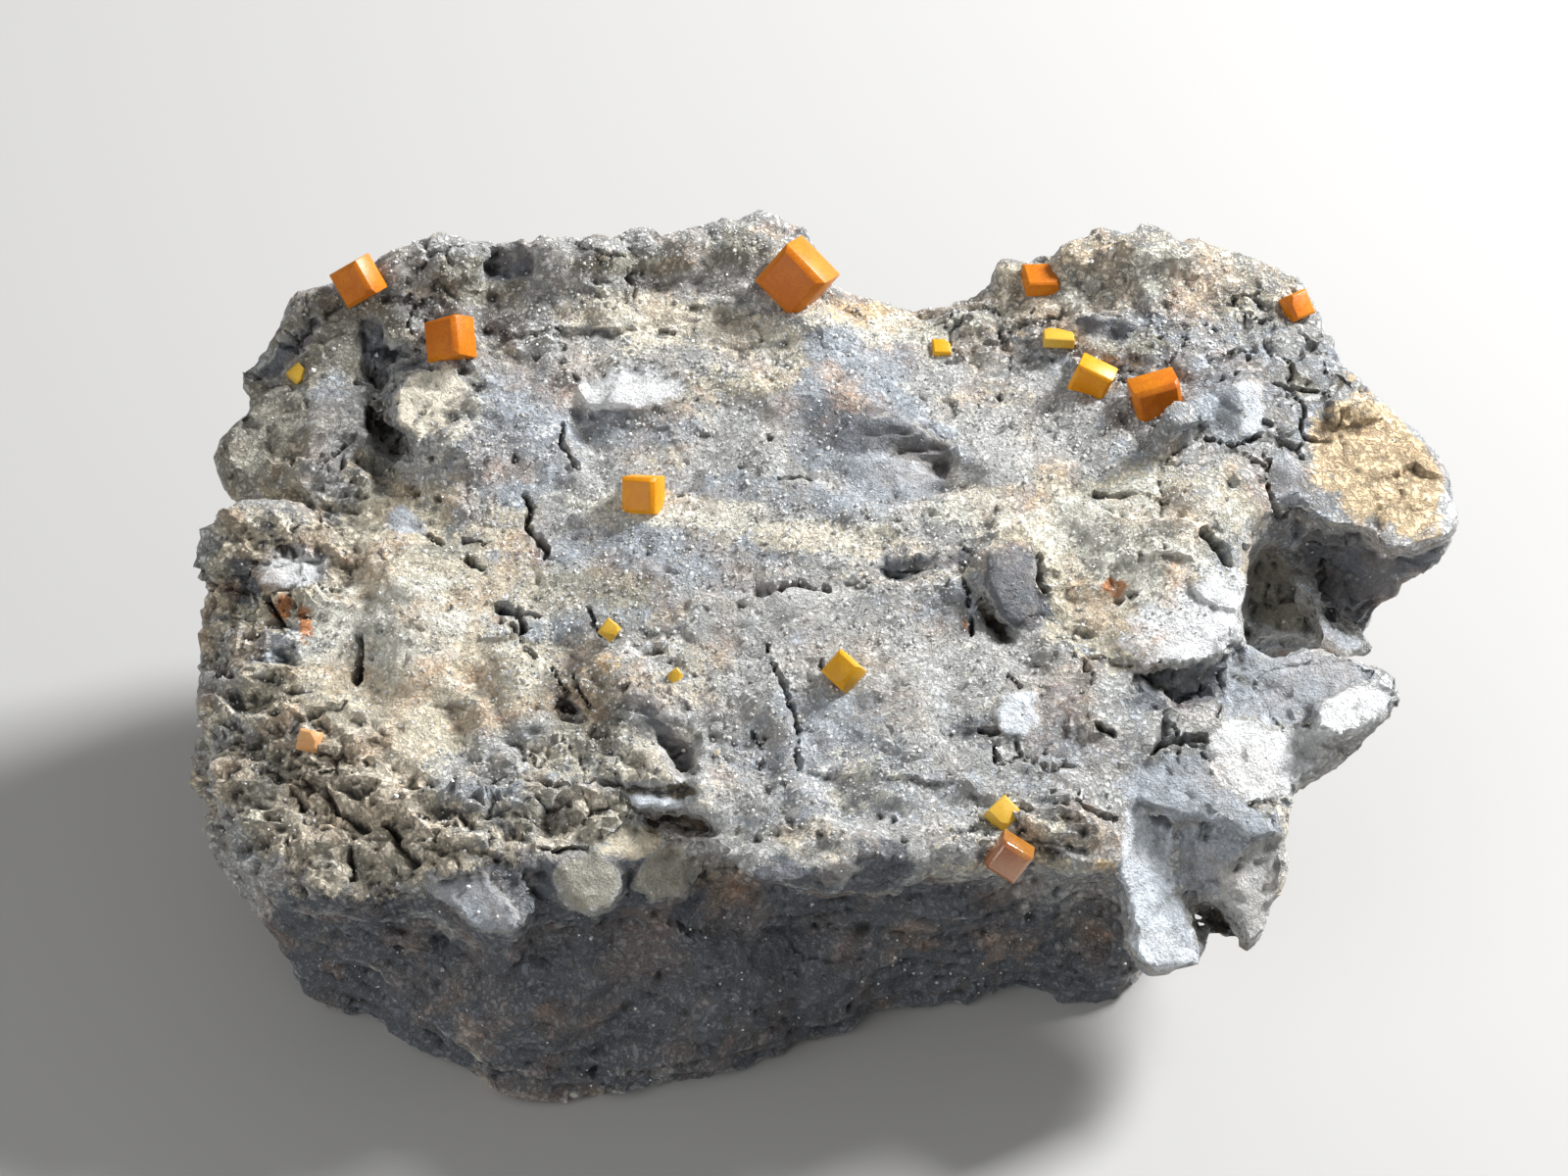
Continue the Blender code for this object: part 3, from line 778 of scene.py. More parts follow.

# Faces toned with the near-black cavity tone, and sunken faces toned dark slate or dun, carry painted shade
# where they lie in shadow.
FACETS: tuple[Facet, ...] = (
    Facet(((1255, 665), (1300, 655), (1345, 666), (1398, 670), (1406, 692), (1350, 718), (1330, 738),
           (1295, 743), (1270, 728), (1250, 740)), (0.0, 0.42, 0.9), 0.3, Tone.BLUE_GREY),
    Facet(((1268, 655), (1275, 640), (1300, 632), (1330, 645), (1400, 668), (1345, 665), (1300, 655)),
          (0.1, 0.75, 0.65), 0.4, Tone.WHITE),
    Facet(((1345, 722), (1405, 694), (1426, 703), (1414, 726), (1385, 746), (1370, 756), (1340, 746)),
          (0.35, 0.5, 0.79), 0.35, Tone.WHITE),
    Facet(((1228, 752), (1262, 735), (1300, 745), (1340, 745), (1370, 756), (1350, 776), (1325, 800),
           (1312, 815), (1275, 818), (1245, 792)), (0.3, 0.42, 0.86), 0.1, Tone.WHITE),
    Facet(((1165, 778), (1215, 772), (1245, 800), (1290, 835), (1310, 850), (1290, 858), (1235, 842),
           (1196, 838), (1150, 815), (1140, 800)), (0.12, 0.4, 0.9), 0.2, Tone.BLUE_GREY),
    # The corner strip's pale grey is partly a painted highlight for its lit face.
    Facet(((1148, 820), (1192, 832), (1198, 890), (1201, 908), (1215, 935), (1250, 985), (1200, 998),
           (1165, 986), (1150, 965), (1140, 905), (1142, 860)), (0.5, 0.22, 0.84), 0.7, Tone.PALE_GREY),
    Facet(((1200, 845), (1255, 850), (1270, 864), (1255, 893), (1205, 897)), (-0.28, -0.12, 0.95), -0.3,
          Tone.BLUE_GREY),
    Facet(((1205, 898), (1252, 894), (1253, 917), (1225, 912)), (0.2, 0.35, 0.91), 0.0, Tone.BLUE_GREY),
    Facet(((1246, 880), (1270, 866), (1305, 852), (1308, 880), (1305, 915), (1316, 930), (1298, 955),
           (1290, 982), (1276, 978), (1268, 940), (1247, 920)), (0.3, 0.12, 0.94), 0.2, Tone.GREY),
    Facet(((1201, 904), (1240, 920), (1268, 945), (1276, 975), (1264, 980), (1240, 962), (1216, 932)),
          (-0.2, -0.45, 0.87), -2.4, Tone.CAVITY_SHADOW),
    Facet(((1225, 592), (1274, 585), (1272, 620), (1258, 660), (1225, 672), (1160, 680), (1190, 650),
           (1215, 615)), (0.25, 0.3, 0.92), 0.5, Tone.WHITE),
    Facet(((1150, 687), (1200, 682), (1258, 662), (1250, 702), (1235, 720), (1195, 718), (1162, 702)),
          (-0.05, -0.25, 0.97), -1.2, Tone.SLATE_AND_SHADE),
    Facet(((1272, 632), (1278, 562), (1300, 550), (1325, 590), (1345, 640), (1318, 648), (1295, 638)),
          (-0.35, 0.1, 0.93), -0.5, Tone.DUN_AND_SHADE),
    Facet(((1325, 556), (1340, 535), (1400, 548), (1405, 568), (1450, 561), (1495, 545), (1485, 575),
           (1440, 605), (1410, 625), (1385, 640), (1350, 630), (1335, 600)), (-0.12, -0.55, 0.83), -0.9,
          Tone.SLATE_AND_SHADE),
    Facet(((1340, 450), (1380, 432), (1435, 425), (1465, 452), (1495, 465), (1495, 542), (1450, 559),
           (1405, 566), (1400, 546), (1350, 532), (1340, 505)), (0.08, 0.5, 0.86), 0.35),
    Facet(((1318, 592), (1330, 588), (1365, 640), (1398, 655), (1390, 675), (1355, 655), (1340, 635)),
          (0.5, 0.3, 0.81), 1.2, Tone.PALE_GREY),
    Facet(((1233, 403), (1260, 389), (1268, 420), (1262, 442), (1243, 438)), (-0.3, 0.25, 0.92), 0.7,
          Tone.BLUE_GREY),
    Facet(((1260, 389), (1287, 394), (1291, 423), (1276, 447), (1262, 442), (1268, 420)),
          (0.45, 0.3, 0.84), 0.8, Tone.PALE_GREY),
    Facet(((1297, 467), (1318, 460), (1331, 487), (1324, 511), (1304, 512), (1294, 487)),
          (0.05, 0.2, 0.98), 0.5, Tone.BLUE_GREY),
    Facet(((1005, 570), (1035, 555), (1055, 580), (1060, 620), (1050, 640), (1030, 640), (1010, 605)),
          (0.1, 0.3, 0.95), 0.8, Tone.SLATE_AND_SHADE),
    Facet(((998, 598), (1010, 605), (1030, 643), (1040, 655), (1020, 657), (1000, 627)),
          (-0.3, -0.3, 0.91), -1.6, Tone.CAVITY_SHADOW),
    Facet(((1013, 725), (1030, 710), (1055, 705), (1065, 740), (1045, 756), (1020, 748)),
          (0.2, 0.42, 0.88), 0.6, Tone.PALE_GREY),
    Facet(((868, 420), (935, 435), (975, 465), (965, 482), (900, 458), (870, 455)),
          (0.0, -0.02, 1.0), 0.0, Tone.SLATE_AND_SHADE),
    Facet(((870, 466), (900, 464), (965, 486), (972, 500), (920, 508), (880, 498)),
          (0.08, 0.45, 0.89), 0.0, Tone.BLUE_GREY),
    Facet(((890, 578), (903, 564), (924, 572), (941, 562), (962, 567), (984, 556), (993, 566), (972, 582),
           (940, 586), (917, 594)), (-0.1, 0.0, 1.0), -0.6, Tone.SLATE_AND_SHADE),
    Facet(((648, 700), (668, 712), (684, 738), (704, 762), (712, 790), (697, 796), (680, 776), (668, 748),
           (652, 738)), (-0.4, -0.2, 0.89), -0.7, Tone.SLATE_AND_SHADE),
    Facet(((608, 785), (640, 800), (700, 797), (712, 812), (640, 812), (618, 806)),
          (-0.2, -0.4, 0.9), -1.1, Tone.CAVITY_SHADOW),
    Facet(((640, 812), (700, 808), (705, 822), (648, 828)), (0.1, 0.6, 0.79), 0.1, Tone.PALE_GREY),
    Facet(((648, 830), (690, 824), (722, 835), (738, 852), (700, 852), (668, 846)),
          (-0.1, -0.4, 0.91), -3.0, Tone.CAVITY_SHADOW),
    Facet(((567, 710), (580, 712), (594, 728), (585, 737), (570, 727)), (-0.3, -0.3, 0.91), -1.9, Tone.CAVITY_SHADOW),
    Facet(((200, 665), (210, 670), (226, 696), (215, 693), (203, 678)), (-0.4, -0.3, 0.87), -1.3, Tone.CAVITY_SHADOW),
    Facet(((265, 575), (300, 562), (335, 565), (330, 590), (295, 602), (268, 600)),
          (0.1, 0.5, 0.86), 0.4, Tone.WHITE),
    Facet(((440, 905), (470, 890), (500, 895), (520, 915), (530, 935), (515, 950), (485, 946), (460, 925)),
          (-0.25, 0.35, 0.9), 1.2, Tone.BLUE_GREY),
    Facet(((565, 892), (590, 870), (620, 870), (633, 895), (628, 930), (600, 936), (575, 925)),
          (0.15, 0.15, 0.97), 1.0, Tone.DUN_AND_SHADE),
    Facet(((645, 902), (660, 876), (690, 860), (706, 885), (700, 915), (665, 923)),
          (0.3, 0.2, 0.93), 0.9, Tone.DUN_AND_SHADE),
    Facet(((605, 866), (640, 835), (676, 850), (668, 870), (640, 881), (620, 878)),
          (0.3, 0.4, 0.87), 0.7, Tone.TAN),
    Facet(((530, 890), (560, 876), (566, 900), (572, 925), (545, 920), (532, 912)), (-0.2, -0.4, 0.9), -1.6,
          Tone.SLATE_AND_SHADE),
    Facet(((632, 885), (648, 888), (642, 905), (640, 925), (630, 928)), (-0.2, -0.4, 0.9), -1.6, Tone.SLATE_AND_SHADE),
    Facet(((552, 820), (570, 815), (577, 840), (560, 851), (550, 840)), (-0.3, -0.3, 0.91), -1.5, Tone.CAVITY_SHADOW),
    Facet(((370, 420), (385, 400), (400, 415), (400, 440), (426, 455), (420, 466), (395, 471), (380, 450)),
          (-0.3, -0.3, 0.91), -2.6, Tone.CAVITY_SHADOW),
    Facet(((365, 330), (385, 320), (400, 345), (436, 358), (432, 370), (400, 385), (386, 402), (372, 380)),
          (-0.45, -0.25, 0.86), -1.2, Tone.SLATE_AND_SHADE),
    Facet(((402, 402), (420, 376), (460, 374), (480, 395), (465, 430), (430, 450), (405, 435)),
          (0.08, 0.42, 0.9), 0.8, Tone.CREAM),
    Facet(((262, 380), (290, 340), (325, 320), (330, 335), (300, 365), (280, 395)),
          (-0.45, -0.05, 0.89), -0.7, Tone.SLATE_AND_SHADE),
    Facet(((490, 286), (500, 250), (515, 237), (546, 256), (546, 284)), (-0.3, -0.1, 0.95), -1.0, Tone.SLATE_AND_SHADE),
    Facet(((585, 397), (640, 376), (700, 386), (695, 406), (640, 416), (595, 416)),
          (0.03, 0.52, 0.85), 0.2, Tone.WHITE),
    Facet(((395, 521), (410, 512), (438, 541), (400, 541)), (0.1, 0.42, 0.9), 0.3, Tone.BLUE_GREY),
    Facet(((1358, 380), (1372, 384), (1376, 405), (1362, 402)), (-0.3, -0.3, 0.91), -1.3, Tone.CAVITY_SHADOW),
    Facet(((1095, 325), (1130, 320), (1165, 335), (1150, 352), (1110, 348)), (-0.1, 0.05, 0.99), -0.6,
          Tone.SLATE_AND_SHADE),
    Facet(((1195, 405), (1225, 400), (1232, 430), (1208, 442), (1192, 428)), (0.1, 0.45, 0.89), 0.9),
)

TINTS: dict[Tone, tuple[Patch, ...]] = {
    Tone.TAN: ovals(
        (390, 640, 220, 160, 0, 0.8, 0.5), (1150, 560, 140, 110, 0, 0.8, 0.5),
        (1100, 290, 330, 70, 0, 0.6, 0.5), (940, 650, 120, 80, 0, 0.3, 0.6),
    ),
    Tone.CREAM: ovals(
        (780, 545, 190, 22, -2, 0.7, 0.5), (700, 330, 160, 28, -8, 0.7, 0.5),
        (900, 480, 90, 16, 0, 0.5, 0.5), (540, 640, 110, 70, 0, 0.5, 0.6),
        (640, 560, 60, 30, 0, 0.6, 0.5), (600, 800, 120, 80, 0, 0.7, 0.5),
        (1190, 560, 100, 80, 0, 0.5, 0.5), (1290, 800, 50, 60, 30, 0.7, 0.5),
        (300, 560, 100, 60, 0, 0.5, 0.6), (1290, 940, 26, 60, 0, 0.7, 0.5),
    ),
    Tone.BLUE_GREY: ovals(
        (880, 440, 95, 55, -10, 0.9, 0.3), (885, 365, 70, 28, -10, 0.8, 0.4),
        (650, 435, 80, 22, 0, 0.7, 0.4), (525, 455, 70, 60, 20, 0.75, 0.4),
        (740, 500, 60, 22, 0, 0.6, 0.4), (740, 570, 110, 16, 0, 0.5, 0.4),
        (860, 800, 80, 50, 0, 0.6, 0.5), (1250, 690, 60, 30, 20, 0.7, 0.4),
        (1340, 690, 60, 22, -15, 0.8, 0.4), (1070, 740, 40, 40, 0, 0.7, 0.4),
        (1175, 890, 32, 105, 4, 0.8, 0.3), (1210, 810, 60, 40, 0, 0.6, 0.4),
        (1260, 420, 40, 38, 0, 0.8, 0.3), (1315, 485, 22, 32, 0, 0.8, 0.3),
        (1130, 332, 46, 22, 0, 0.7, 0.4), (650, 890, 30, 20, 0, 0.5, 0.5),
    ),
    # The wide patch on the front underside is dark slate partly as painted shade.
    Tone.SLATE_AND_SHADE: ovals(
        (870, 435, 62, 34, -12, 0.75, 0.5), (1035, 605, 34, 50, 10, 0.8, 0.4),
        (1200, 705, 52, 18, 12, 0.8, 0.4), (1232, 880, 34, 40, 0, 0.35, 0.5),
        (590, 915, 60, 24, 0, 0.75, 0.6), (514, 268, 34, 14, 68, 0.7, 0.4),
        (700, 1000, 560, 120, 0, 0.9, 0.3), (250, 590, 22, 26, 0, 0.7, 0.5),
    ),
    Tone.WHITE: ovals(
        (642, 393, 62, 22, 10, 0.8, 0.4), (1222, 632, 60, 44, 25, 0.9, 0.5),
        (1275, 775, 70, 36, 38, 0.9, 0.5), (1385, 722, 60, 20, 32, 0.95, 0.3),
        (1300, 655, 50, 16, -8, 0.9, 0.4), (1450, 520, 60, 50, -35, 0.8, 0.4),
        (1345, 625, 14, 40, 35, 0.8, 0.4), (300, 575, 38, 26, 0, 0.6, 0.5),
        (660, 665, 50, 24, 0, 0.5, 0.5), (560, 440, 20, 14, 0, 0.4, 0.5),
    ),
    Tone.OCHRE: ovals(
        (1395, 465, 80, 58, -38, 1.0, 0.5), (1420, 520, 60, 30, -20, 0.6, 0.6),
        (1400, 400, 40, 20, -40, 0.6, 0.5), (905, 322, 50, 18, -8, 0.75, 0.5),
        (1090, 352, 110, 9, -16, 0.45, 0.5), (730, 770, 18, 26, 30, 0.3, 0.5),
        (620, 676, 18, 14, 0, 0.6, 0.5), (330, 700, 50, 40, 0, 0.3, 0.6),
        (1130, 890, 20, 12, -30, 0.6, 0.5),
    ),
    Tone.RUST: ovals(
        (1136, 600, 13, 11, 0, 0.7, 0.5), (285, 622, 14, 18, -40, 0.8, 0.5),
        (312, 636, 9, 20, 10, 0.7, 0.5), (345, 705, 12, 6, 0, 0.5, 0.5), (985, 635, 6, 26, 10, 0.5, 0.5),
    ),
    # Dun patches: darker ground, much of it painted shade on shadowy ledges and crevices.
    Tone.DUN_AND_SHADE: ovals(
        (255, 440, 60, 50, 30, 1.0, 0.5), (230, 470, 30, 60, 0, 0.8, 0.5),
        (310, 350, 40, 60, -40, 0.8, 0.6), (380, 350, 40, 50, 0, 0.8, 0.5),
        (480, 285, 60, 26, 0, 0.85, 0.5), (640, 268, 80, 12, 0, 0.75, 0.5),
        (760, 255, 50, 26, 0, 0.6, 0.6), (380, 480, 50, 30, 0, 0.6, 0.6), (455, 560, 40, 14, 0, 0.6, 0.6),
        (620, 600, 60, 22, -10, 0.7, 0.5), (590, 720, 40, 50, 30, 0.75, 0.5),
        (360, 880, 90, 26, -20, 0.5, 0.6), (270, 800, 40, 60, 0, 0.6, 0.6),
        (560, 830, 30, 24, 0, 0.7, 0.5), (1330, 395, 40, 16, -45, 0.6, 0.6),
        (1140, 345, 60, 20, -10, 0.7, 0.5),
    ),
    Tone.IVORY: ovals(
        (1160, 545, 95, 60, 0, 0.8, 0.5), (1190, 285, 150, 40, 6, 0.6, 0.6),
        (1000, 520, 60, 24, 0, 0.7, 0.5), (700, 520, 130, 18, -4, 0.75, 0.5),
        (950, 330, 80, 22, 6, 0.6, 0.6), (400, 640, 110, 60, 0, 0.7, 0.6),
        (1120, 300, 90, 40, 6, 0.6, 0.6), (450, 410, 50, 50, 0, 0.6, 0.5),
        (870, 800, 60, 40, 0, 0.5, 0.6),
    ),
    Tone.STRAW: ovals(
        (340, 820, 130, 80, -25, 0.95, 0.5), (450, 850, 80, 40, 0, 0.6, 0.5),
    ),
}

# The painted layers, the lowest first, and the tone that each of a layer's three numbers stands for.
# The near-black cavity tone is painted shade, and so are the dark slate and dun tones in part.
PAINTS: dict[str, tuple[Tone, Tone, Tone]] = {
    "tone_beds": (Tone.TAN, Tone.CREAM, Tone.BLUE_GREY),
    "tone_crust_and_shade": (Tone.SLATE_AND_SHADE, Tone.WHITE, Tone.OCHRE),
    "tone_stain_and_shade": (Tone.STRAW, Tone.PALE_GREY, Tone.DUN_AND_SHADE),
    "tone_deep": (Tone.IVORY, Tone.RUST, Tone.CAVITY_SHADOW),
}

# How strong each tone's thin beds are.
STREAKS = {Tone.TAN: 0.20, Tone.CREAM: 0.08, Tone.BLUE_GREY: 0.32, Tone.SLATE_AND_SHADE: 0.02}


COLOUR_INPUTS = (0, 6, 7)
SHARE = (0.0, 1.0)
NOISE_REACH = (0.3, 0.7)
INNER_REACH = (0.35, 0.65)

LEDGE_EDGES = Noise(2.2, 11, 3)
CRACK_SWELL = Noise(1.6, 11, 3)
GROUND_EDGES = Noise(3.0, 21, 3, 0.35)
TONE_EDGES = Noise(3.2, 101, 4, 0.45)
SWELLS = Noise(1.5, 61, 3, 0.14)
GRIT = Noise(0.55, 65, 1, 0.144)
RUBBLE = Noise(2.8, 71, 4, 1.25, True)
CHIPS = Noise(1.2, 75, 3, 0.25, True)
BED_NORMAL = np.array([0.12, -0.22, 0.97])
BED_HEIGHT = 1.5
BED_WAVES = Noise(6.0, 91, 2, 1.2)
SLIVERS = Noise(1.1, 95, 3, 0.25)
STREAK_STRETCH = np.array([0.38, 1.0, 1.0])
CRUST_EDGES = Noise(4.0, 111, 3, 0.4)
DEEPEST_CUT = 0.9
DRUSE_ZONES = Noise(5.0, 201, 3)

HIDDEN_GROUNDS = {Ground.BLOCKY: 0.9, Ground.SLATY: 0.35}
CRUMBS_EVERYWHERE = 0.15

HIDDEN_TONES: dict[Tone, tuple[float, Noise]] = {
    Tone.BLUE_GREY: (0.36, Noise(7.0, 141, 4, 0.7)),
    Tone.SLATE_AND_SHADE: (0.16, Noise(9.0, 121, 4, 0.9)),
    Tone.TAN: (0.42, Noise(6.0, 125, 4, 0.7)),
    Tone.CREAM: (0.05, Noise(8.0, 131, 4, 0.8)),
    Tone.WHITE: (-0.08, Noise(5.0, 135, 4, 0.75)),
    Tone.OCHRE: (-0.05, Noise(6.0, 161, 4, 0.7)),
}


class Shader:
    """A short hand for a material and its nodes."""

    def __init__(self, name: str) -> None:
        """Start a material.

        Args:
            name: The material's name.
        """
        self.made = bpy.data.materials.new(name)
        self.made.use_nodes = True
        self.tree = self.made.node_tree
        self.shader = self.tree.nodes["Principled BSDF"]

    def dress(self, values: dict[str, object]) -> bpy.types.Material:
        """Give the shader its values.

        Args:
            values: A number, colour or socket for each input by name.

        Returns:
            The material.
        """
        for name, value in values.items():
            self.feed(value, self.shader.inputs[name])
        return self.made

    def add(self, kind: str, **values: object) -> bpy.types.Node:
        """Add a node.

        Args:
            kind: The node's kind.
            values: A number, colour or socket for each input by name.

        Returns:
            The node.
        """
        node = self.tree.nodes.new("ShaderNode" + kind)
        for name, value in values.items():
            self.feed(value, node.inputs[name])
        return node

    def feed(self, value: object, socket: Socket) -> None:
        """Link or set an input, whichever the value needs.

        Args:
            value: A socket, a colour or a number.
            socket: The input.
        """
        if isinstance(value, Socket):
            self.tree.links.new(value, socket)
        elif isinstance(value, tuple) and len(socket.default_value) == 4:
            socket.default_value = (*value, 1.0)
        else:
            socket.default_value = value

    def place(self) -> Socket:
        """Return the place on the piece."""
        return self.add("TexCoord").outputs["Object"]

    def attribute(self, name: str, output: str = "Fac") -> Socket:
        """Read one of the piece's painted layers.

        Args:
            name: The layer's name.
            output: "Fac" for a number or "Color" for three.

        Returns:
            The layer's socket.
        """
        node = self.add("Attribute")
        node.attribute_name = name
        return node.outputs[output]

    def noise(self, place: Socket, size: float, detail: float) -> Socket:
        """Add a noise whose hills are size millimetres apart."""
        scale = 1.0 / (size * MM)
        return self.add("TexNoise", Vector=place, Scale=scale, Detail=detail, Roughness=0.6).outputs[0]

    def cloud(self, place: Socket, size: float) -> Socket:
        """Add a noise with its own value along each axis."""
        return self.add("TexNoise", Vector=place, Scale=1.0 / (size * MM), Detail=2.0).outputs[1]

    def cells(self, place: Socket, size: float) -> Socket:
        """Add cells size millimetres apart, each with a colour of its own."""
        return self.add("TexVoronoi", Vector=place, Scale=1.0 / (size * MM)).outputs["Color"]

    def split(self, colour: Socket) -> tuple[Socket, ...]:
        """Part a colour into its three numbers."""
        return tuple(self.add("SeparateColor", Color=colour).outputs)

    def span(
        self, value: object, low: float, high: float, start: float = 0.0, end: float = 1.0
    ) -> Socket:
        """Map a value from one range to another and stop at its ends.

        Args:
            value: The value.
            low: Where the first range starts.
            high: Where it ends.
            start: Where the second range starts.
            end: Where it ends.

        Returns:
            The mapped value's socket.
        """
        node = self.add("MapRange", Value=value)
        for name, number in zip(("From Min", "From Max", "To Min", "To Max"), (low, high, start, end)):
            node.inputs[name].default_value = number
        return node.outputs[0]

    def maths(self, sort: str, first: object, second: object = 0.0) -> Socket:
        """Work out a sum of one or two numbers.

        Args:
            sort: The sum's name in Blender.
            first: The first number or socket.
            second: The second one.

        Returns:
            The result's socket.
        """
        node = self.add("Math")
        node.operation = sort
        self.feed(first, node.inputs[0])
        self.feed(second, node.inputs[1])
        return node.outputs[0]

    def product(self, *values: object) -> Socket:
        """Multiply values together."""
        return reduce(lambda first, second: self.maths("MULTIPLY", first, second), values)

    def blend(self, share: object, first: object, second: object) -> Socket:
        """Go from the first number to the second by a share."""
        return self.add("Mix", Factor=share, A=first, B=second).outputs[0]

    def mix(self, share: object, first: object, second: object) -> Socket:
        """Go from the first colour to the second by a share.

        Args:
            share: How far, from 0 to 1.
            first: The first colour.
            second: The second colour.

        Returns:
            The mixed colour's socket.
        """
        node = self.add("Mix")
        node.data_type = "RGBA"
        for value, index in zip((share, first, second), COLOUR_INPUTS):
            self.feed(value, node.inputs[index])
        return node.outputs[2]

    def vector(self, sort: str, **values: object) -> Socket:
        """Work out a sum of vectors.

        Args:
            sort: The sum's name in Blender.
            values: The first and second vector, and the scale if there is one.

        Returns:
            The result's socket.
        """
        node = self.add("VectorMath")
        node.operation = sort
        for name, index in (("first", 0), ("second", 1), ("scale", 3)):
            if name in values:
                self.feed(values[name], node.inputs[index])
        return node.outputs[0]


@dataclass(frozen=True)
class RockFinish:
    """The dolomite's material: its tones in ragged layers, fine grain, a glitter of tilted quartz flakes and
    painted glints.

    The sizes from grain to bend are how far apart each pattern's hills or cells are. Each shade is what the
    colour is multiplied by, where its pattern is lowest and highest.
    """

    grain: float = 0.16
    mottle: float = 1.1
    flake: float = 0.20
    crumb: float = 0.62
    blush: float = 4.2
    bend: float = 0.4
    bend_width: float = 0.9
    ragged: float = 1.5
    tone_edge: tuple[float, float] = (0.38, 0.62)
    noise_shade: tuple[float, float] = (0.78, 1.2)
    flake_shade: tuple[float, float] = (0.84, 1.16)
    crumb_shade: tuple[float, float] = (0.86, 1.14)
    hollow_shade: tuple[float, float] = (1.0, 0.16)
    blush_zone: tuple[float, float] = (0.46, 0.66)
    blush_share: tuple[float, float, float, float] = (0.1, 0.6, 0.12, 0.5)
    fleck_share: tuple[float, float, float, float] = (0.72, 0.95, 0.0, 0.6)
    crease_width: float = 0.09
    crease_height: float = 0.7
    mottle_height: float = 1.6
    grain_height: float = 0.5
    painted_glint: Colour = (0.86, 0.87, 0.88)
    glint_zone: tuple[float, float] = (0.984, 0.99)
    gloss_zone: tuple[float, float] = (0.7, 0.9)
    roughness: tuple[float, float] = (0.72, 0.24)
    tilt: tuple[float, float] = (0.15, 0.42)
    bump_strength: float = 0.9
    bump_depth: float = 0.24
    name: str = "dolomite"

    def material(self) -> bpy.types.Material:
        """Build the material.

        Returns:
            The material.
        """
        tree = Shader(self.name + "_rock")
        place = tree.place()
        grain = tree.noise(place, self.grain, 4)
        mottle = tree.noise(place, self.mottle, 8)
        flake = tree.cells(place, self.flake)
        flake_tone, flake_glint, flake_gloss = tree.split(flake)
        crust = tree.attribute("crust")
        loose = tree.attribute("loose")
        shift = tree.vector("SCALE", first=tree.cloud(place, self.bend), scale=self.bend_width * MM)
        crumb = tree.split(tree.cells(tree.vector("ADD", first=place, second=shift), self.crumb))
        # Painted shade in fine creases: the colour darkens where the crease noise is low, and the bump sinks
        # there.
        crease = tree.maths("ABSOLUTE", tree.maths("SUBTRACT", tree.noise(place, self.crumb, 6), 0.5))
        crease = tree.span(crease, 0.0, self.crease_width)
        colour = self.blushed(tree, place, crumb[0], self.toned(tree, mottle, grain))
        shade = tree.product(
            tree.span(grain, *NOISE_REACH, *self.noise_shade),
            tree.span(mottle, *NOISE_REACH, *self.noise_shade),
            tree.blend(crust, 1.0, tree.span(flake_tone, *SHARE, *self.flake_shade)),
            tree.blend(loose, 1.0, tree.span(crumb[1], *SHARE, *self.crumb_shade)),
            tree.blend(loose, 1.0, tree.span(crease, *SHARE, *self.noise_shade)),
            # Painted shade: the colour darkens in hollows, cracks and pits.
            tree.span(tree.attribute("painted_hollow_shade"), *SHARE, *self.hollow_shade),
        )
        colour = tree.vector("SCALE", first=colour, scale=shade)
        # Painted glints: a few grains of the crust are painted near white.
        painted_glint = tree.product(tree.span(flake_glint, *self.glint_zone), crust)
        height = tree.maths("ADD", tree.product(crease, self.crease_height, loose),
                            tree.product(mottle, self.mottle_height))
        height = tree.maths("ADD", tree.product(grain, self.grain_height), height)
        return tree.dress({
            "Base Color": tree.mix(painted_glint, colour, self.painted_glint),
            "Roughness": tree.blend(tree.span(flake_gloss, *self.gloss_zone), *self.roughness),
            "Normal": self.normal(tree, flake, crust, height),
        })

    def toned(self, tree: Shader, mottle: Socket, grain: Socket) -> object:
        """Lay the painted tones over each other, each with a ragged edge.

        Args:
            tree: The material's nodes.
            mottle: Coarse noise.
            grain: Fine noise.

        Returns:
            The colour's socket.
        """
        fray = tree.product(tree.maths("SUBTRACT", mottle, 0.5), self.ragged)
        fray = tree.maths("ADD", fray, tree.product(tree.maths("SUBTRACT", grain, 0.5), 0.5))
        colour = Tone.GREY.value
        for layer, tones in PAINTS.items():
            for part, tone in zip(tree.split(tree.attribute(layer, "Color")), tones):
                share = tree.span(tree.maths("ADD", part, fray), *self.tone_edge)
                colour = tree.mix(share, colour, tone.value)
        return colour

    def blushed(
        self, tree: Shader, place: Socket, crumb: Socket, colour: object
    ) -> Socket:
        """Tinge the tan beds with iron, and redden some of their crumbs.

        Args:
            tree: The material's nodes.
            place: The place on the piece.
            crumb: A number for each crumb.
            colour: The colour's socket.

        Returns:
            The tinged colour's socket.
        """
        tan = tree.split(tree.attribute("tone_beds", "Color"))[0]
        warm = tree.span(tree.noise(place, self.blush, 6), *self.blush_zone)
        warm = tree.product(warm, tree.span(tan, *self.blush_share))
        colour = tree.mix(warm, colour, Tone.BLUSH.value)
        return tree.mix(tree.product(tree.span(crumb, *self.fleck_share), warm), colour, Tone.RUST.value)

    def normal(
        self, tree: Shader, flake: Socket, crust: Socket, height: Socket
    ) -> Socket:
        """Turn each grain of the crust its own way and roughen the rest.

        Args:
            tree: The material's nodes.
            flake: The pattern of grains.
            crust: Where the crust is.
            height: The height of the grain, the crumbs and the mottling.

        Returns:
            The direction's socket.
        """
        tilt = tree.vector("SUBTRACT", first=flake, second=(0.5, 0.5, 0.5))
        tilt = tree.vector("SCALE", first=tilt, scale=tree.blend(crust, *self.tilt))
        facing = tree.vector("ADD", first=tree.add("NewGeometry").outputs["Normal"], second=tilt)
        facing = tree.vector("NORMALIZE", first=facing)
        bump = tree.add("Bump", Strength=self.bump_strength, Distance=self.bump_depth * MM)
        tree.feed(height, bump.inputs["Height"])
        tree.feed(facing, bump.inputs["Normal"])
        return bump.outputs[0]


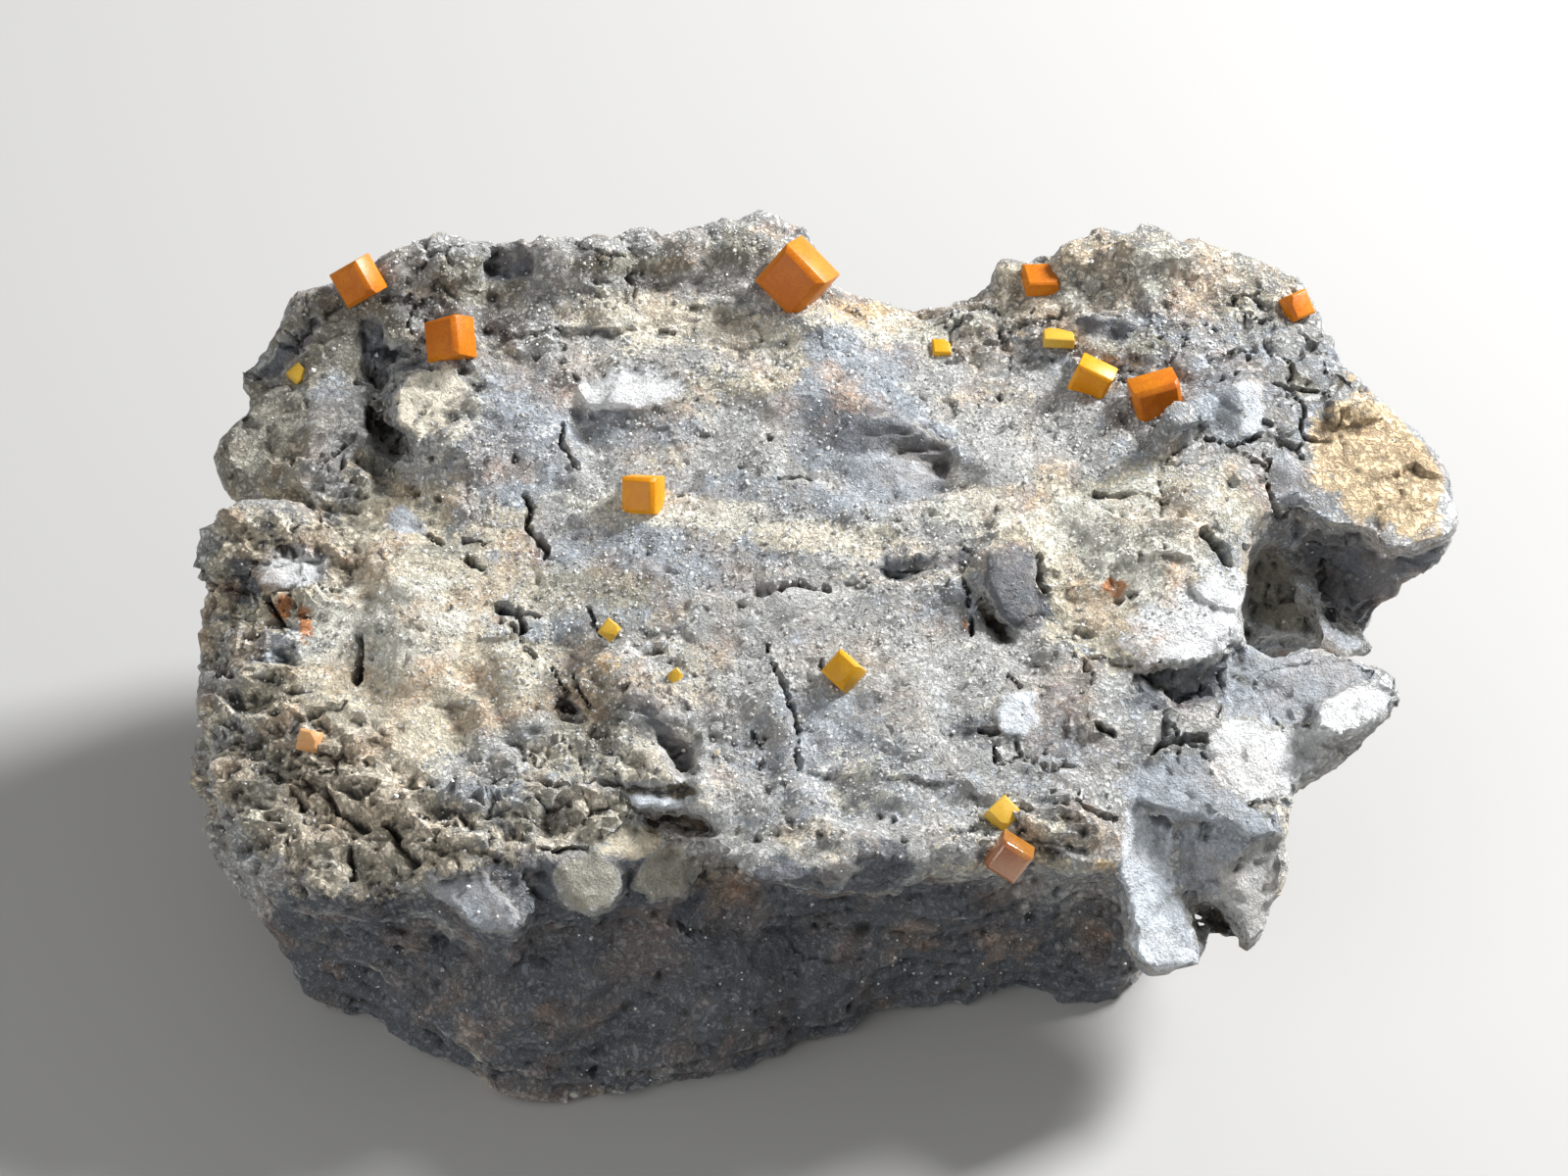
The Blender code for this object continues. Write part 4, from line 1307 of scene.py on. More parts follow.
@dataclass
class Skin:
    """The lump's skin as it stands, and how the viewer sees it."""

    points: Array
    normals: Array
    edges: Array
    pixels: Array
    ragged: Array
    seen: Array

    shifts: ClassVar[tuple[Noise, Noise]] = (Noise(1.8, 301, 4, 8.0), Noise(1.8, 311, 4, 8.0))
    lift: ClassVar[float] = 0.25
    start: ClassVar[float] = 0.3
    grazing: ClassVar[tuple[float, float]] = (0.02, 0.35)
    passes: ClassVar[int] = 4

    @classmethod
    def read(cls, mesh: bpy.types.Mesh) -> "Skin":
        """Read a mesh.

        Args:
            mesh: The lump's mesh.

        Returns:
            Its points, outward directions, edges and pixels, the pixels shifted a little so that what is
            drawn gets a broken outline, and how well each point is seen, from 0 to 1.
        """
        points = read_points(mesh)
        normals = read_normals(mesh)
        edges = read_edges(mesh)
        pixels = VIEW.to_pixels(points)
        shift = np.stack([noise.at(points) for noise in cls.shifts], axis=1)
        return cls(points, normals, edges, pixels, pixels + shift, cls.sighted(mesh, points, normals, edges))

    @classmethod
    def sighted(cls, mesh: bpy.types.Mesh, points: Array, normals: Array, edges: Array) -> Array:
        """Say how well each point is seen by the viewer.

        Args:
            mesh: The lump's mesh.
            points: Its points.
            normals: Its outward directions.
            edges: The two points of each edge.

        Returns:
            A number from 0 to 1 for each point.
        """
        body = bmesh.new()
        body.from_mesh(mesh)
        tree = BVHTree.FromBMesh(body)
        body.free()
        away = VIEW.eye() - points
        away /= np.linalg.norm(away, axis=1)[:, None]
        facing = np.einsum("ij,ij->i", away, normals)
        clear = np.zeros(len(points))
        starts = (points + normals * cls.lift + away * cls.start) * MM
        for index in np.nonzero(facing > 0.0)[0]:
            if tree.ray_cast(Vector(starts[index]), Vector(away[index]))[0] is None:
                clear[index] = 1.0
        clear *= ramp(facing, *cls.grazing)
        return relax(clear[:, None], edges, cls.passes)[:, 0]

    def grounds(self, warp: Array) -> dict[Ground, Array]:
        """Say how much of each kind of surface every point has.

        Args:
            warp: How far each patch's edge wanders.

        Returns:
            A number from 0 to 1 for each point, by kind.
        """
        shares = {}
        for ground, patches in GROUNDS.items():
            shares[ground] = sum(patch.reach(self.pixels, warp) for patch in patches) * self.seen
        for ground, share in HIDDEN_GROUNDS.items():
            shares[ground] = shares[ground] + share * (1.0 - self.seen)
        shares[Ground.CRUMBLY] = shares[Ground.CRUMBLY] + CRUMBS_EVERYWHERE
        total = sum(shares.values())
        return {ground: share / total for ground, share in shares.items()}


@dataclass(frozen=True)
class Crazing:
    """Thin cracks in some zones, between the stones of a coarse and a fine pattern."""

    patterns: tuple[tuple[float, int], ...] = ((8.0, 361), (3.4, 371))
    bend: Noise = Noise(2.4, 341)
    bend_width: float = 1.3
    gap: tuple[float, float] = (0.05, 0.30)
    zone_size: float = 5.0
    zone: tuple[float, float] = (0.12, 0.4)

    def at(self, points: Array) -> Array:
        """Say where the cracks are.

        Args:
            points: The skin's points.

        Returns:
            A number from 0 to 1 in a crack for each point.
        """
        bend = by_axis(lambda axis: layered(points, self.bend.size, self.bend.seed + 5 * axis))
        bent = points + bend * self.bend_width
        deep = np.zeros(len(points))
        for size, seed in self.patterns:
            stones = Stones.around(bent, size, seed)
            line = 1.0 - ramp((stones.second - stones.near) * size, *self.gap)
            deep = np.maximum(deep, line * ramp(layered(points, self.zone_size, seed + 5, 3), *self.zone))
        return deep


@dataclass(frozen=True)
class Pocks:
    """Small pits in some zones."""

    size: float = 1.9
    seed: int = 391
    bend: Noise = Noise(0.7, 381)
    bend_width: float = 0.25
    pit: tuple[float, float] = (0.12, 0.24)
    zones: Noise = Noise(4.0, 395, 3)
    zone: tuple[float, float] = (0.0, 0.3)

    def at(self, points: Array) -> Array:
        """Say where the pits are.

        Args:
            points: The skin's points.

        Returns:
            A number from 0 to 1 in a pit for each point.
        """
        bend = by_axis(lambda axis: drift(points, self.bend.size, self.bend.seed + axis))
        bent = points + bend * self.bend_width
        pits = 1.0 - ramp(Stones.around(bent, self.size, self.seed).near, *self.pit)
        return pits * ramp(self.zones.at(points), *self.zone)


@dataclass(frozen=True)
class Terraces:
    """Low steps with wandering edges, which stand higher in some zones."""

    stretch: tuple[float, float, float] = (0.55, 1.0, 1.0)
    levels: Noise = Noise(13.0, 321, 5, 3.2)
    riser: tuple[float, float] = (0.45, 0.55)
    zones: Noise = Noise(9.0, 331, 2)
    zone: tuple[float, float] = (0.0, 0.4)
    least: float = 0.5

    def at(self, points: Array) -> Array:
        """Say how far the steps lift the skin.

        Args:
            points: The skin's points.

        Returns:
            A height for each point, in steps.
        """
        level = self.levels.at(points * np.array(self.stretch))
        part = level - np.floor(level)
        return (ramp(part, *self.riser) - part) * (self.least + ramp(self.zones.at(points), *self.zone))


def broken_faces(
    points: Array, normals: Array, size: float, tilt: float, seed: int, share: Array
) -> Array:
    """Flatten the skin into the faces that a hammer leaves.

    Args:
        points: The skin's points.
        normals: Its outward directions.
        size: The faces' usual width.
        tilt: How far each face leans its own way.
        seed: Which pattern of faces.
        share: How flat each point's face gets, from 0 to 1.

    Returns:
        The moved points.
    """
    _, face = np.unique(Stones.around(points, size, seed).number, return_inverse=True)
    count = np.bincount(face)
    centre = by_axis(lambda axis: np.bincount(face, weights=points[:, axis])) / count[:, None]
    facing = by_axis(lambda axis: np.bincount(face, weights=normals[:, axis])) / count[:, None]
    counter = by_axis(lambda axis: np.arange(len(count)))
    facing += (by_axis(lambda axis: scatter(counter, seed + 5 + axis)) - 0.5) * tilt
    facing /= np.linalg.norm(facing, axis=1)[:, None] + 1e-9
    height = np.einsum("ij,ij->i", points - centre[face], facing[face])
    height = np.clip(height, -DEEPEST_CUT, DEEPEST_CUT)
    return points - facing[face] * (height * share)[:, None]


@dataclass
class DolomiteLump:
    """The matrix: a broken lump of dolomite that carries every crystal."""

    node: str = "matrix"
    piece: str = "dolomite_matrix"
    slot: str = "dolomite"
    coarse_cell: float = 0.36
    fine_cell: float = 0.25
    triangles: int = 192_000
    outgrowth: float = 0.45
    base: float = 0.12
    crease: float = 34.0
    pocket_reach: float = 0.5
    pocket_margin: float = 1.0
    pocket_passes: int = 260
    pocket_pull: float = 0.9
    step_height: float = 0.35
    knob: Noise = Noise(1.5, 81, 1, 0.6)
    knob_level: float = 0.45
    rubble_level: float = 0.3
    bed_relief: float = 0.4
    pock_depth: float = 0.4
    tone_share: float = 0.72
    even_passes: int = 8
    face_relief: float = 0.7
    craze_depth: tuple[float, float] = (0.2, 0.3)
    # Painted shade of cracks, pits and hollows: how dark they are painted and where.
    craze_shade: tuple[float, float] = (0.3, 0.3)
    craze_calm: tuple[float, float] = (0.8, 0.9)
    pock_shade: float = 0.8
    hollow_passes: int = 6
    hollow_bend: tuple[float, float] = (0.02, 0.16)
    hollow_fine: float = 0.5
    hollow_crumbs: float = 0.9
    face_shade_loss: float = 0.7
    crust_slope: tuple[float, float] = (0.2, 0.7)
    crust_loss: float = 0.85
    crust_crumbs: float = 0.5
    face_crust: float = 0.8
    loose_calm: tuple[float, float] = (0.5, 0.3)
    face_loose: float = 0.65
    loose_hidden: float = 0.6
    outline_blur: float = 0.3
    finish: RockFinish = field(default_factory=RockFinish)

    def build(self, crystal_nodes: list[str]) -> bpy.types.Object:
        """Make the lump.

        Args:
            crystal_nodes: The solids whose pockets are closed over.

        Returns:
            The finished piece.
        """
        rock = self.copy_solid()
        self.remesh(rock, self.coarse_cell)
        self.add_boulders(rock)
        self.close_pockets(rock.data, crystal_nodes)
        self.carve(rock.data)
        self.remesh(rock, self.fine_cell)
        self.roughen(rock.data)
        self.thin(rock)
        self.paint(rock.data)
        rock.data.materials.clear()
        rock.data.materials.append(self.finish.material())
        bpy.ops.object.shade_smooth_by_angle(angle=math.radians(self.crease))
        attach(rock, BODY)
        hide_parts(self.node)
        return rock

    def copy_solid(self) -> bpy.types.Object:
        """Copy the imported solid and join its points.

        Returns:
            The copy.
        """
        rock = add_object(self.piece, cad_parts[self.node].data.copy())
        select_only(rock)
        bpy.ops.object.mode_set(mode="EDIT")
        bpy.ops.mesh.select_all(action="SELECT")
        bpy.ops.mesh.remove_doubles(threshold=1e-6)
        bpy.ops.object.mode_set(mode="OBJECT")
        return rock

    def remesh(self, rock: bpy.types.Object, cell: float) -> None:
        """Give the lump an even skin of faces as wide as a cell."""
        apply_modifier(rock, "REMESH", mode="VOXEL", voxel_size=cell * MM)

    def add_boulders(self, rock: bpy.types.Object) -> None:
        """Grow the small lumps on and take them into the skin.

        Args:
            rock: The lump.
        """
        lumps = [boulder.grow(rock) for boulder in BOULDERS]
        select_only(rock)
        for lump in lumps:
            lump.select_set(True)
        bpy.ops.object.join()
        self.remesh(rock, self.coarse_cell)

    def close_pockets(self, mesh: bpy.types.Mesh, crystal_nodes: list[str]) -> None:
        """Draw the rock up round the crystals and take the facets off its skin.

        Args:
            mesh: The lump's mesh.
            crystal_nodes: The crystals' solids.
        """
        points = read_points(mesh)
        edges = read_edges(mesh)
        free = np.zeros(len(points))
        for name in crystal_nodes:
            low, high = (np.array(corner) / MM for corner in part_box(name))
            near = (points > low - self.pocket_margin) & (points < high + self.pocket_margin)
            tree = BVHTree.FromObject(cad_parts[name], bpy.context.evaluated_depsgraph_get())
            for index in np.nonzero(np.all(near, axis=1))[0]:
                found = tree.find_nearest(Vector(points[index] * MM), self.pocket_reach * MM)
                if found[0] is not None:
                    free[index] = 1.0
        points = relax(points, edges, self.pocket_passes, (free * self.pocket_pull)[:, None])
        write_points(mesh, relax(points, edges, 4, 0.5))

    def carve(self, mesh: bpy.types.Mesh) -> None:
        """Flatten the drawn faces and lay the ledges that show on the lit side.

        Args:
            mesh: The lump's mesh.
        """
        skin = Skin.read(mesh)
        points = skin.points
        for face in FACETS:
            points = face.flatten(points, skin.ragged, skin.seen)
        warp = LEDGE_EDGES.at(points)
        lift = sum(ledge.profile(skin.ragged, warp) for ledge in LEDGES)
        write_points(mesh, points + skin.normals * (lift * skin.seen)[:, None])

    def roughen(self, mesh: bpy.types.Mesh) -> None:
        """Break the skin up: broken faces, steps, rubble, nodules, beds, cracks and pits, each in its zone.

        Args:
            mesh: The lump's mesh.
        """
        skin = Skin.read(mesh)
        points, seen = skin.points, skin.seen
        shares = skin.grounds(GROUND_EDGES.at(points))
        faces = [face.inside(skin.ragged, self.outline_blur) for face in FACETS if face.raised]
        broken = 1.0 - self.face_relief * np.max(faces, axis=0) * seen
        even = unit(relax(skin.normals, skin.edges, self.even_passes))
        for ground, size, tilt, seed, depth in BREAKAGE:
            points = broken_faces(points, even, size, tilt, seed, shares[ground] * depth * broken)
        steps = Terraces().at(points) * self.step_height * (1.0 - shares[Ground.SLATY])
        points = points + skin.normals * steps[:, None]
        lift = SWELLS.at(points) + GRIT.at(points)
        lift += shares[Ground.CRUMBLY] * broken * (RUBBLE.at(points @ RUBBLE_LEAN) - self.rubble_level)
        lift += shares[Ground.CRUMBLY] * broken * CHIPS.at(points @ RUBBLE_LEAN)
        knobs = self.knob_level - Stones.around(points, self.knob.size, self.knob.seed).near
        lift += shares[Ground.NODULAR] * knobs * self.knob.height
        beds = points @ BED_NORMAL / BED_HEIGHT + BED_WAVES.at(points)
        lift += shares[Ground.SLATY] * (np.abs((beds % 1.0) - 0.5) * 2.0 - 0.5) * self.bed_relief
        lift += shares[Ground.SLATY] * SLIVERS.at(points)
        swelling = CRACK_SWELL.at(points)
        lift += sum(crack.profile(skin.ragged, swelling) for crack in CRACKS) * seen
        plain = 1.0 - self.craze_calm[0] * shares[Ground.SLATY] - self.craze_calm[0] * shares[Ground.CALM]
        hidden, lit = self.craze_depth
        lift -= Crazing().at(points) * (hidden + lit * seen) * plain * broken
        lift -= Pocks().at(points) * self.pock_depth * broken
        write_points(mesh, self.within(points + skin.normals * lift[:, None]))

    def within(self, points: Array) -> Array:
        """Keep the skin inside the solid's box and flat on its base.

        Args:
            points: The skin's points.

        Returns:
            The moved points.
        """
        low, high = (np.array(corner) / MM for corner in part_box(self.node))
        lowest = low - np.array([self.outgrowth, self.outgrowth, 0.0])
        kept = np.clip(points, lowest, high + self.outgrowth)
        kept[:, 2] = np.where(kept[:, 2] < self.base, 0.0, kept[:, 2])
        return kept

    def thin(self, rock: bpy.types.Object) -> None:
        """Lower the number of faces where the skin is plain.

        Args:
            rock: The lump.
        """
        ratio = self.triangles / (2 * len(rock.data.polygons))
        apply_modifier(rock, "DECIMATE", ratio=ratio, use_collapse_triangulate=True)
        write_points(rock.data, self.within(read_points(rock.data)))

    def paint(self, mesh: bpy.types.Mesh) -> None:
        """Paint the tones, the crust, the painted shade of hollows, cracks and pits, and the loose ground on
        the skin.

        Args:
            mesh: The lump's mesh.
        """
        skin = Skin.read(mesh)
        points, normals, seen = skin.points, skin.normals, skin.seen
        warp = TONE_EDGES.at(points)
        bare = self.paint_tones(mesh, skin, warp)
        # Painted shade: hollows, cracks, crazing and pits are darkened in the colour.
        bend = np.einsum("ij,ij->i", neighbour_mean(points, skin.edges) - points, normals)
        spread = relax(bend[:, None], skin.edges, self.hollow_passes)[:, 0]
        shares = skin.grounds(warp)
        bend = (spread + bend * self.hollow_fine) * (1.0 + self.hollow_crumbs * shares[Ground.CRUMBLY])
        painted_hollow_shade = ramp(bend, *self.hollow_bend)
        swelling = CRACK_SWELL.at(points)
        for crack in CRACKS:
            painted_hollow_shade = np.maximum(painted_hollow_shade, crack.profile(skin.ragged, swelling) / crack.height * seen)
        plain = 1.0 - self.craze_calm[1] * shares[Ground.SLATY] - self.craze_calm[1] * shares[Ground.CALM]
        hidden, lit = self.craze_shade
        crazed = Crazing().at(points) * (hidden + lit * seen) * plain
        crack_and_pit_shade = np.maximum(crazed, Pocks().at(points) * self.pock_shade) * (1.0 - self.face_shade_loss * bare * seen)
        self.store(mesh, "painted_hollow_shade", np.maximum(painted_hollow_shade, crack_and_pit_shade))
        smooth = shares[Ground.BLOCKY] + shares[Ground.SLATY] + self.crust_crumbs * shares[Ground.CRUMBLY]
        crust = ramp(normals[:, 2] + CRUST_EDGES.at(points), *self.crust_slope)
        crust = crust * (1.0 - self.crust_loss * smooth)
        self.store(mesh, "crust", crust * (1.0 - self.face_crust * bare * seen))
        calm = self.loose_calm[0] * shares[Ground.CALM] + self.loose_calm[1] * shares[Ground.SLATY]
        kept = (1.0 - calm) * (1.0 - self.face_loose * bare * seen)
        self.store(mesh, "loose", kept * (self.loose_hidden + (1.0 - self.loose_hidden) * seen))

    def paint_tones(self, mesh: bpy.types.Mesh, skin: Skin, warp: Array) -> Array:
        """Paint the tones: patches, streaks and broken faces in sight, stains elsewhere.

        Args:
            mesh: The lump's mesh.
            skin: Its skin.
            warp: How far each patch's edge wanders.

        Returns:
            How much of a broken face each point has, from 0 to 1.
        """
        near = {}
        for tone in Tone:
            near[tone] = self.streaks(skin.points, tone)
            for patch in TINTS.get(tone, ()):
                near[tone] = np.maximum(near[tone], patch.reach(skin.pixels, warp))
        bare = np.zeros(len(skin.points))
        for face in FACETS:
            if face.tone is None:
                continue
            share = face.inside(skin.ragged, self.outline_blur)
            bare = np.maximum(bare, share)
            for tone in Tone:
                added = self.tone_share * share if tone is face.tone else 0.0
                near[tone] = near[tone] * (1.0 - share) + added
        hidden = {tone: share + noise.at(skin.points) for tone, (share, noise) in HIDDEN_TONES.items()}
        nowhere = np.zeros(len(skin.points))
        unseen = 1.0 - skin.seen
        for layer, tones in PAINTS.items():
            shares = [near[tone] * skin.seen + hidden.get(tone, nowhere) * unseen for tone in tones]
            self.store(mesh, layer, np.stack(shares, axis=1))
        return bare

    def streaks(self, points: Array, tone: Tone) -> Array:
        """Say how much of a tone lies in thin beds across the lit side.

        Args:
            points: The skin's points.
            tone: The tone.

        Returns:
            A number from 0 to 0.7 for each point.
        """
        strength = STREAKS.get(tone)
        if strength is None:
            return np.zeros(len(points))
        beds = layered(points * STREAK_STRETCH, 4.5, 151 + 10 * list(Tone).index(tone))
        return np.clip(beds * 0.7 + strength, 0.0, 0.7)

    def store(self, mesh: bpy.types.Mesh, name: str, values: Array) -> None:
        """Keep a painted layer on the mesh.

        Args:
            mesh: The lump's mesh.
            name: The layer's name.
            values: A number or three for each point.
        """
        if values.ndim == 2:
            layer = mesh.attributes.new(name, "FLOAT_COLOR", "POINT")
            full = np.concatenate([np.clip(values, 0.0, 1.0), np.ones((len(values), 1))], axis=1)
            layer.data.foreach_set("color", full.astype(np.float32).ravel())
        else:
            layer = mesh.attributes.new(name, "FLOAT", "POINT")
            layer.data.foreach_set("value", values.astype(np.float32))


@dataclass
class QuartzDruse:
    """The fine crust of quartz points that glitters on the top of the lump."""

    piece: str = "quartz_druse"
    slot: str = "dolomite"
    count: int = 9_000
    size: tuple[float, float] = (0.06, 0.13)
    growths: tuple[float, ...] = (0.8, 1.0, 1.5)
    growth_shares: tuple[float, ...] = (0.5, 0.35, 0.15)
    sides: int = 5
    tip: float = 1.5
    root: float = 1.2
    lean: float = 0.45
    lowest: float = 1.0
    milky: Colour = (0.50, 0.51, 0.51)
    clear: Colour = (0.74, 0.73, 0.69)
    cloud: float = 0.9
    roughness: tuple[float, float] = (0.08, 0.3)
    refraction: float = 1.544
    seed: int = 7

    def build(self, rock: bpy.types.Object) -> bpy.types.Object:
        """Set the quartz points on the rock.

        Args:
            rock: The lump.

        Returns:
            The finished piece.
        """
        places, facing = self.places(rock.data)
        rng = np.random.default_rng(self.seed + 1)
        turns = np.arange(self.sides) * math.tau / self.sides
        ring = [(math.cos(turn), math.sin(turn), 0.0) for turn in turns]
        shape = np.array([*ring, (0.0, 0.0, self.tip), (0.0, 0.0, -self.root)])
        pairs = [(k, (k + 1) % self.sides) for k in range(self.sides)]
        faces = [(a, b, self.sides) for a, b in pairs] + [(b, a, self.sides + 1) for a, b in pairs]
        size = rng.uniform(*self.size, len(places))
        size = size * rng.choice(self.growths, len(places), p=self.growth_shares)
        lean = unit(facing + rng.normal(0.0, self.lean, facing.shape))
        side = unit(np.cross(lean, rng.normal(size=lean.shape)))
        turns = np.stack([side, np.cross(lean, side), lean], axis=2)
        points = np.einsum("nij,kj->nki", turns, shape) * size[:, None, None] + places[:, None, :]
        starts = np.arange(len(places)) * len(shape)
        all_faces = (np.array(faces)[None] + starts[:, None, None]).reshape(-1, 3)
        mesh = bpy.data.meshes.new(self.piece)
        mesh.from_pydata((points.reshape(-1, 3) * MM).tolist(), [], all_faces.tolist())
        made = add_object(self.piece, mesh)
        made.data.materials.append(self.material())
        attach(made, BODY)
        return made

    def places(self, mesh: bpy.types.Mesh) -> tuple[Array, Array]:
        """Choose where the quartz points stand.

        Args:
            mesh: The rock's skin.

        Returns:
            Their places and the directions that the skin faces there, one a row.
        """
        rng = np.random.default_rng(self.seed)
        points = read_points(mesh)
        corners = read_rows(mesh.polygons, "vertices", 3, np.int32)
        first, second, third = (points[corners[:, k]] for k in range(3))
        area = np.linalg.norm(np.cross(second - first, third - first), axis=1)
        middle = (first + second + third) / 3
        crust = read_rows(mesh.attributes["crust"].data, "value", 1)[:, 0]
        wanted = area * (crust[corners].mean(axis=1) ** 2 + 0.03)
        wanted *= (ramp(DRUSE_ZONES.at(middle), -0.5, 0.5) + 0.15) * (middle[:, 2] > self.lowest)
        chosen = rng.choice(len(corners), self.count, p=wanted / wanted.sum())
        shares = rng.dirichlet((1.0, 1.0, 1.0), self.count)
        places = np.einsum("nk,nkj->nj", shares, points[corners[chosen]])
        return places, unit(read_normals(mesh)[corners[chosen]].mean(axis=1))

    def material(self) -> bpy.types.Material:
        """Build milky to clear quartz with shining faces.

        Returns:
            The material.
        """
        tree = Shader("quartz")
        cloud = tree.noise(tree.place(), self.cloud, 3)
        return tree.dress({
            "Base Color": tree.mix(tree.span(cloud, *INNER_REACH), self.milky, self.clear),
            "Roughness": tree.span(cloud, *NOISE_REACH, *self.roughness),
            "IOR": self.refraction,
        })


@dataclass(frozen=True)
class CrystalFinish:
    """One colour of wulfenite, from its dark heart to its lit edges."""

    name: str
    heart: Colour
    lit_rim: Colour
    clearness: float = 0.06
    roughness: float = 0.34
    lustre: float = 0.06
    cloud: float = 1.1
    grain: float = 0.16
    cloud_share: tuple[float, float] = (-0.2, 0.3)
    speck_share: tuple[float, float] = (-0.2, 0.2)
    bump_strength: float = 0.6
    bump_depth: float = 0.03
    refraction: float = 2.3

    def material(self) -> bpy.types.Material:
        """Build the material, or find it where it is built already.

        Returns:
            The material.
        """
        found = bpy.data.materials.get("wulfenite_" + self.name)
        if found:
            return found
        tree = Shader("wulfenite_" + self.name)
        place = tree.place()
        cloud = tree.noise(place, self.cloud, 7)
        fine = tree.noise(place, self.grain, 5)
        cloudy = tree.span(cloud, *NOISE_REACH, *self.cloud_share)
        speck = tree.maths("ADD", cloudy, tree.span(fine, *INNER_REACH, *self.speck_share))
        # Painted light: the edges are painted paler, as lit from within.
        share = tree.maths("ADD", speck, tree.attribute("lit_rim"))
        bump = tree.add("Bump", Strength=self.bump_strength, Distance=self.bump_depth * MM, Height=fine)
        return tree.dress({
            "Base Color": tree.mix(share, self.heart, self.lit_rim),
            "Roughness": tree.span(fine, *NOISE_REACH, self.roughness * 0.7, self.roughness * 1.5),
            "Normal": bump.outputs[0],
            "IOR": self.refraction,
            "Specular IOR Level": self.lustre,
            "Transmission Weight": self.clearness,
        })


ORANGE = CrystalFinish("orange", (0.50, 0.125, 0.003), (0.70, 0.25, 0.010))
HONEY = CrystalFinish("honey", (0.66, 0.235, 0.003), (0.84, 0.40, 0.012))
OCHRE = CrystalFinish("ochre", (0.62, 0.29, 0.005), (0.78, 0.42, 0.02))
BROWN = CrystalFinish("brown", (0.44, 0.105, 0.003), (0.66, 0.23, 0.008))
AMBER = CrystalFinish("amber", (0.50, 0.13, 0.004), (0.82, 0.40, 0.06), 0.5, 0.05, 0.6)
YELLOW = CrystalFinish("yellow", (0.56, 0.33, 0.03), (0.68, 0.44, 0.07))
PEACH = CrystalFinish("peach", (0.56, 0.27, 0.10), (0.76, 0.46, 0.22), 0.05, 0.5)


@dataclass(frozen=True)
class Wulfenite:
    """One blocky crystal: its square face's side, its thickness and the way it faces the viewer."""

    node: str
    side: float
    thickness: float
    facing: Direction
    edge: tuple[float, float]
    finish: CrystalFinish
    cut_corners: int = 1
    slope: float = 0.13
    rounding: tuple[float, float] = (0.018, 0.008)
    crease: float = 24.0
    rim_light: float = 0.5

    @property
    def slot(self) -> str:
        """Return the slot, which is named for the finish."""
        return self.finish.name

    def place(self) -> Matrix:
        """Read the crystal's place from its solid's box and its facing.

        Returns:
            The place.
        """
        low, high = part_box(self.node)
        facing = Vector(VIEW.turned(self.facing))
        edge = Vector(VIEW.turned((*self.edge, 0.0)))
        edge = (edge - facing * edge.dot(facing)).normalized()
        turn = Matrix((edge, facing.cross(edge), facing)).transposed().to_4x4()
        return Matrix.Translation((low + high) / 2) @ turn

    def build(self) -> bpy.types.Object:
        """Make the crystal.

        Returns:
            The finished piece.
        """
        bpy.ops.object.select_all(action="DESELECT")
        bpy.ops.mesh.primitive_cube_add(size=1.0)
        made = bpy.context.object
        made.name = self.node + "_crystal"
        made.scale = (self.side * MM, self.side * MM, self.thickness * MM)
        bpy.ops.object.transform_apply(location=False, rotation=False, scale=True)
        self.bevel_rims(made)
        self.cut()
        self.soften(made)
        made.data.transform(self.place())
        made.matrix_world = Matrix.Identity(4)
        self.paint_rims(made.data)
        made.data.materials.append(self.finish.material())
        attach(made, BODY)
        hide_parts(self.node)
        return made

    def bevel_rims(self, made: bpy.types.Object) -> None:
        """Slope the rims of the square faces.

        Args:
            made: The crystal.
        """
        bpy.ops.object.mode_set(mode="EDIT")
        body = bmesh.from_edit_mesh(made.data)
        for edge in body.edges:
            flat = abs(edge.verts[0].co.z - edge.verts[1].co.z) < 0.01 * MM
            edge.select_set(flat)
        bmesh.update_edit_mesh(made.data)
        bpy.ops.mesh.bevel(offset=self.thickness * self.slope * MM, segments=1)
        bpy.ops.object.mode_set(mode="OBJECT")

    def cut(self) -> None:
        """Cut small corners off, as uneven growth leaves them."""
        rng = np.random.default_rng(len(self.node) * 31 + int(self.side * 100))
        half = np.array([self.side, self.side, self.thickness]) / 2
        for _ in range(self.cut_corners):
            signs = rng.choice([-1.0, 1.0], 3)
            signs[2] = 1.0
            away = signs * rng.uniform(0.5, 1.0, 3)
            away /= np.linalg.norm(away)
            at = (half * signs - away * rng.uniform(0.28, 0.42)) * MM
            bpy.ops.object.mode_set(mode="EDIT")
            bpy.ops.mesh.select_all(action="SELECT")
            bpy.ops.mesh.bisect(plane_co=tuple(at), plane_no=tuple(away), use_fill=True, clear_outer=True)
            bpy.ops.object.mode_set(mode="OBJECT")

    def soften(self, made: bpy.types.Object) -> None:
        """Round the edges a little.

        Args:
            made: The crystal.
        """
        for share in self.rounding:
            apply_modifier(made, "BEVEL", width=self.side * share * MM, segments=2, limit_method="ANGLE")
        bpy.ops.object.shade_smooth_by_angle(angle=math.radians(self.crease))

    def paint_rims(self, mesh: bpy.types.Mesh) -> None:
        """Mark the edges, whose colour is painted paler as the light that comes through them.

        Args:
            mesh: The crystal's mesh.
        """
        points = read_points(mesh)
        away = np.linalg.norm(points - points.mean(axis=0), axis=1)
        layer = mesh.attributes.new("lit_rim", "FLOAT", "POINT")
        lit_rim = ramp(away, away.min(), away.max()).astype(np.float32) * self.rim_light
        layer.data.foreach_set("value", lit_rim)


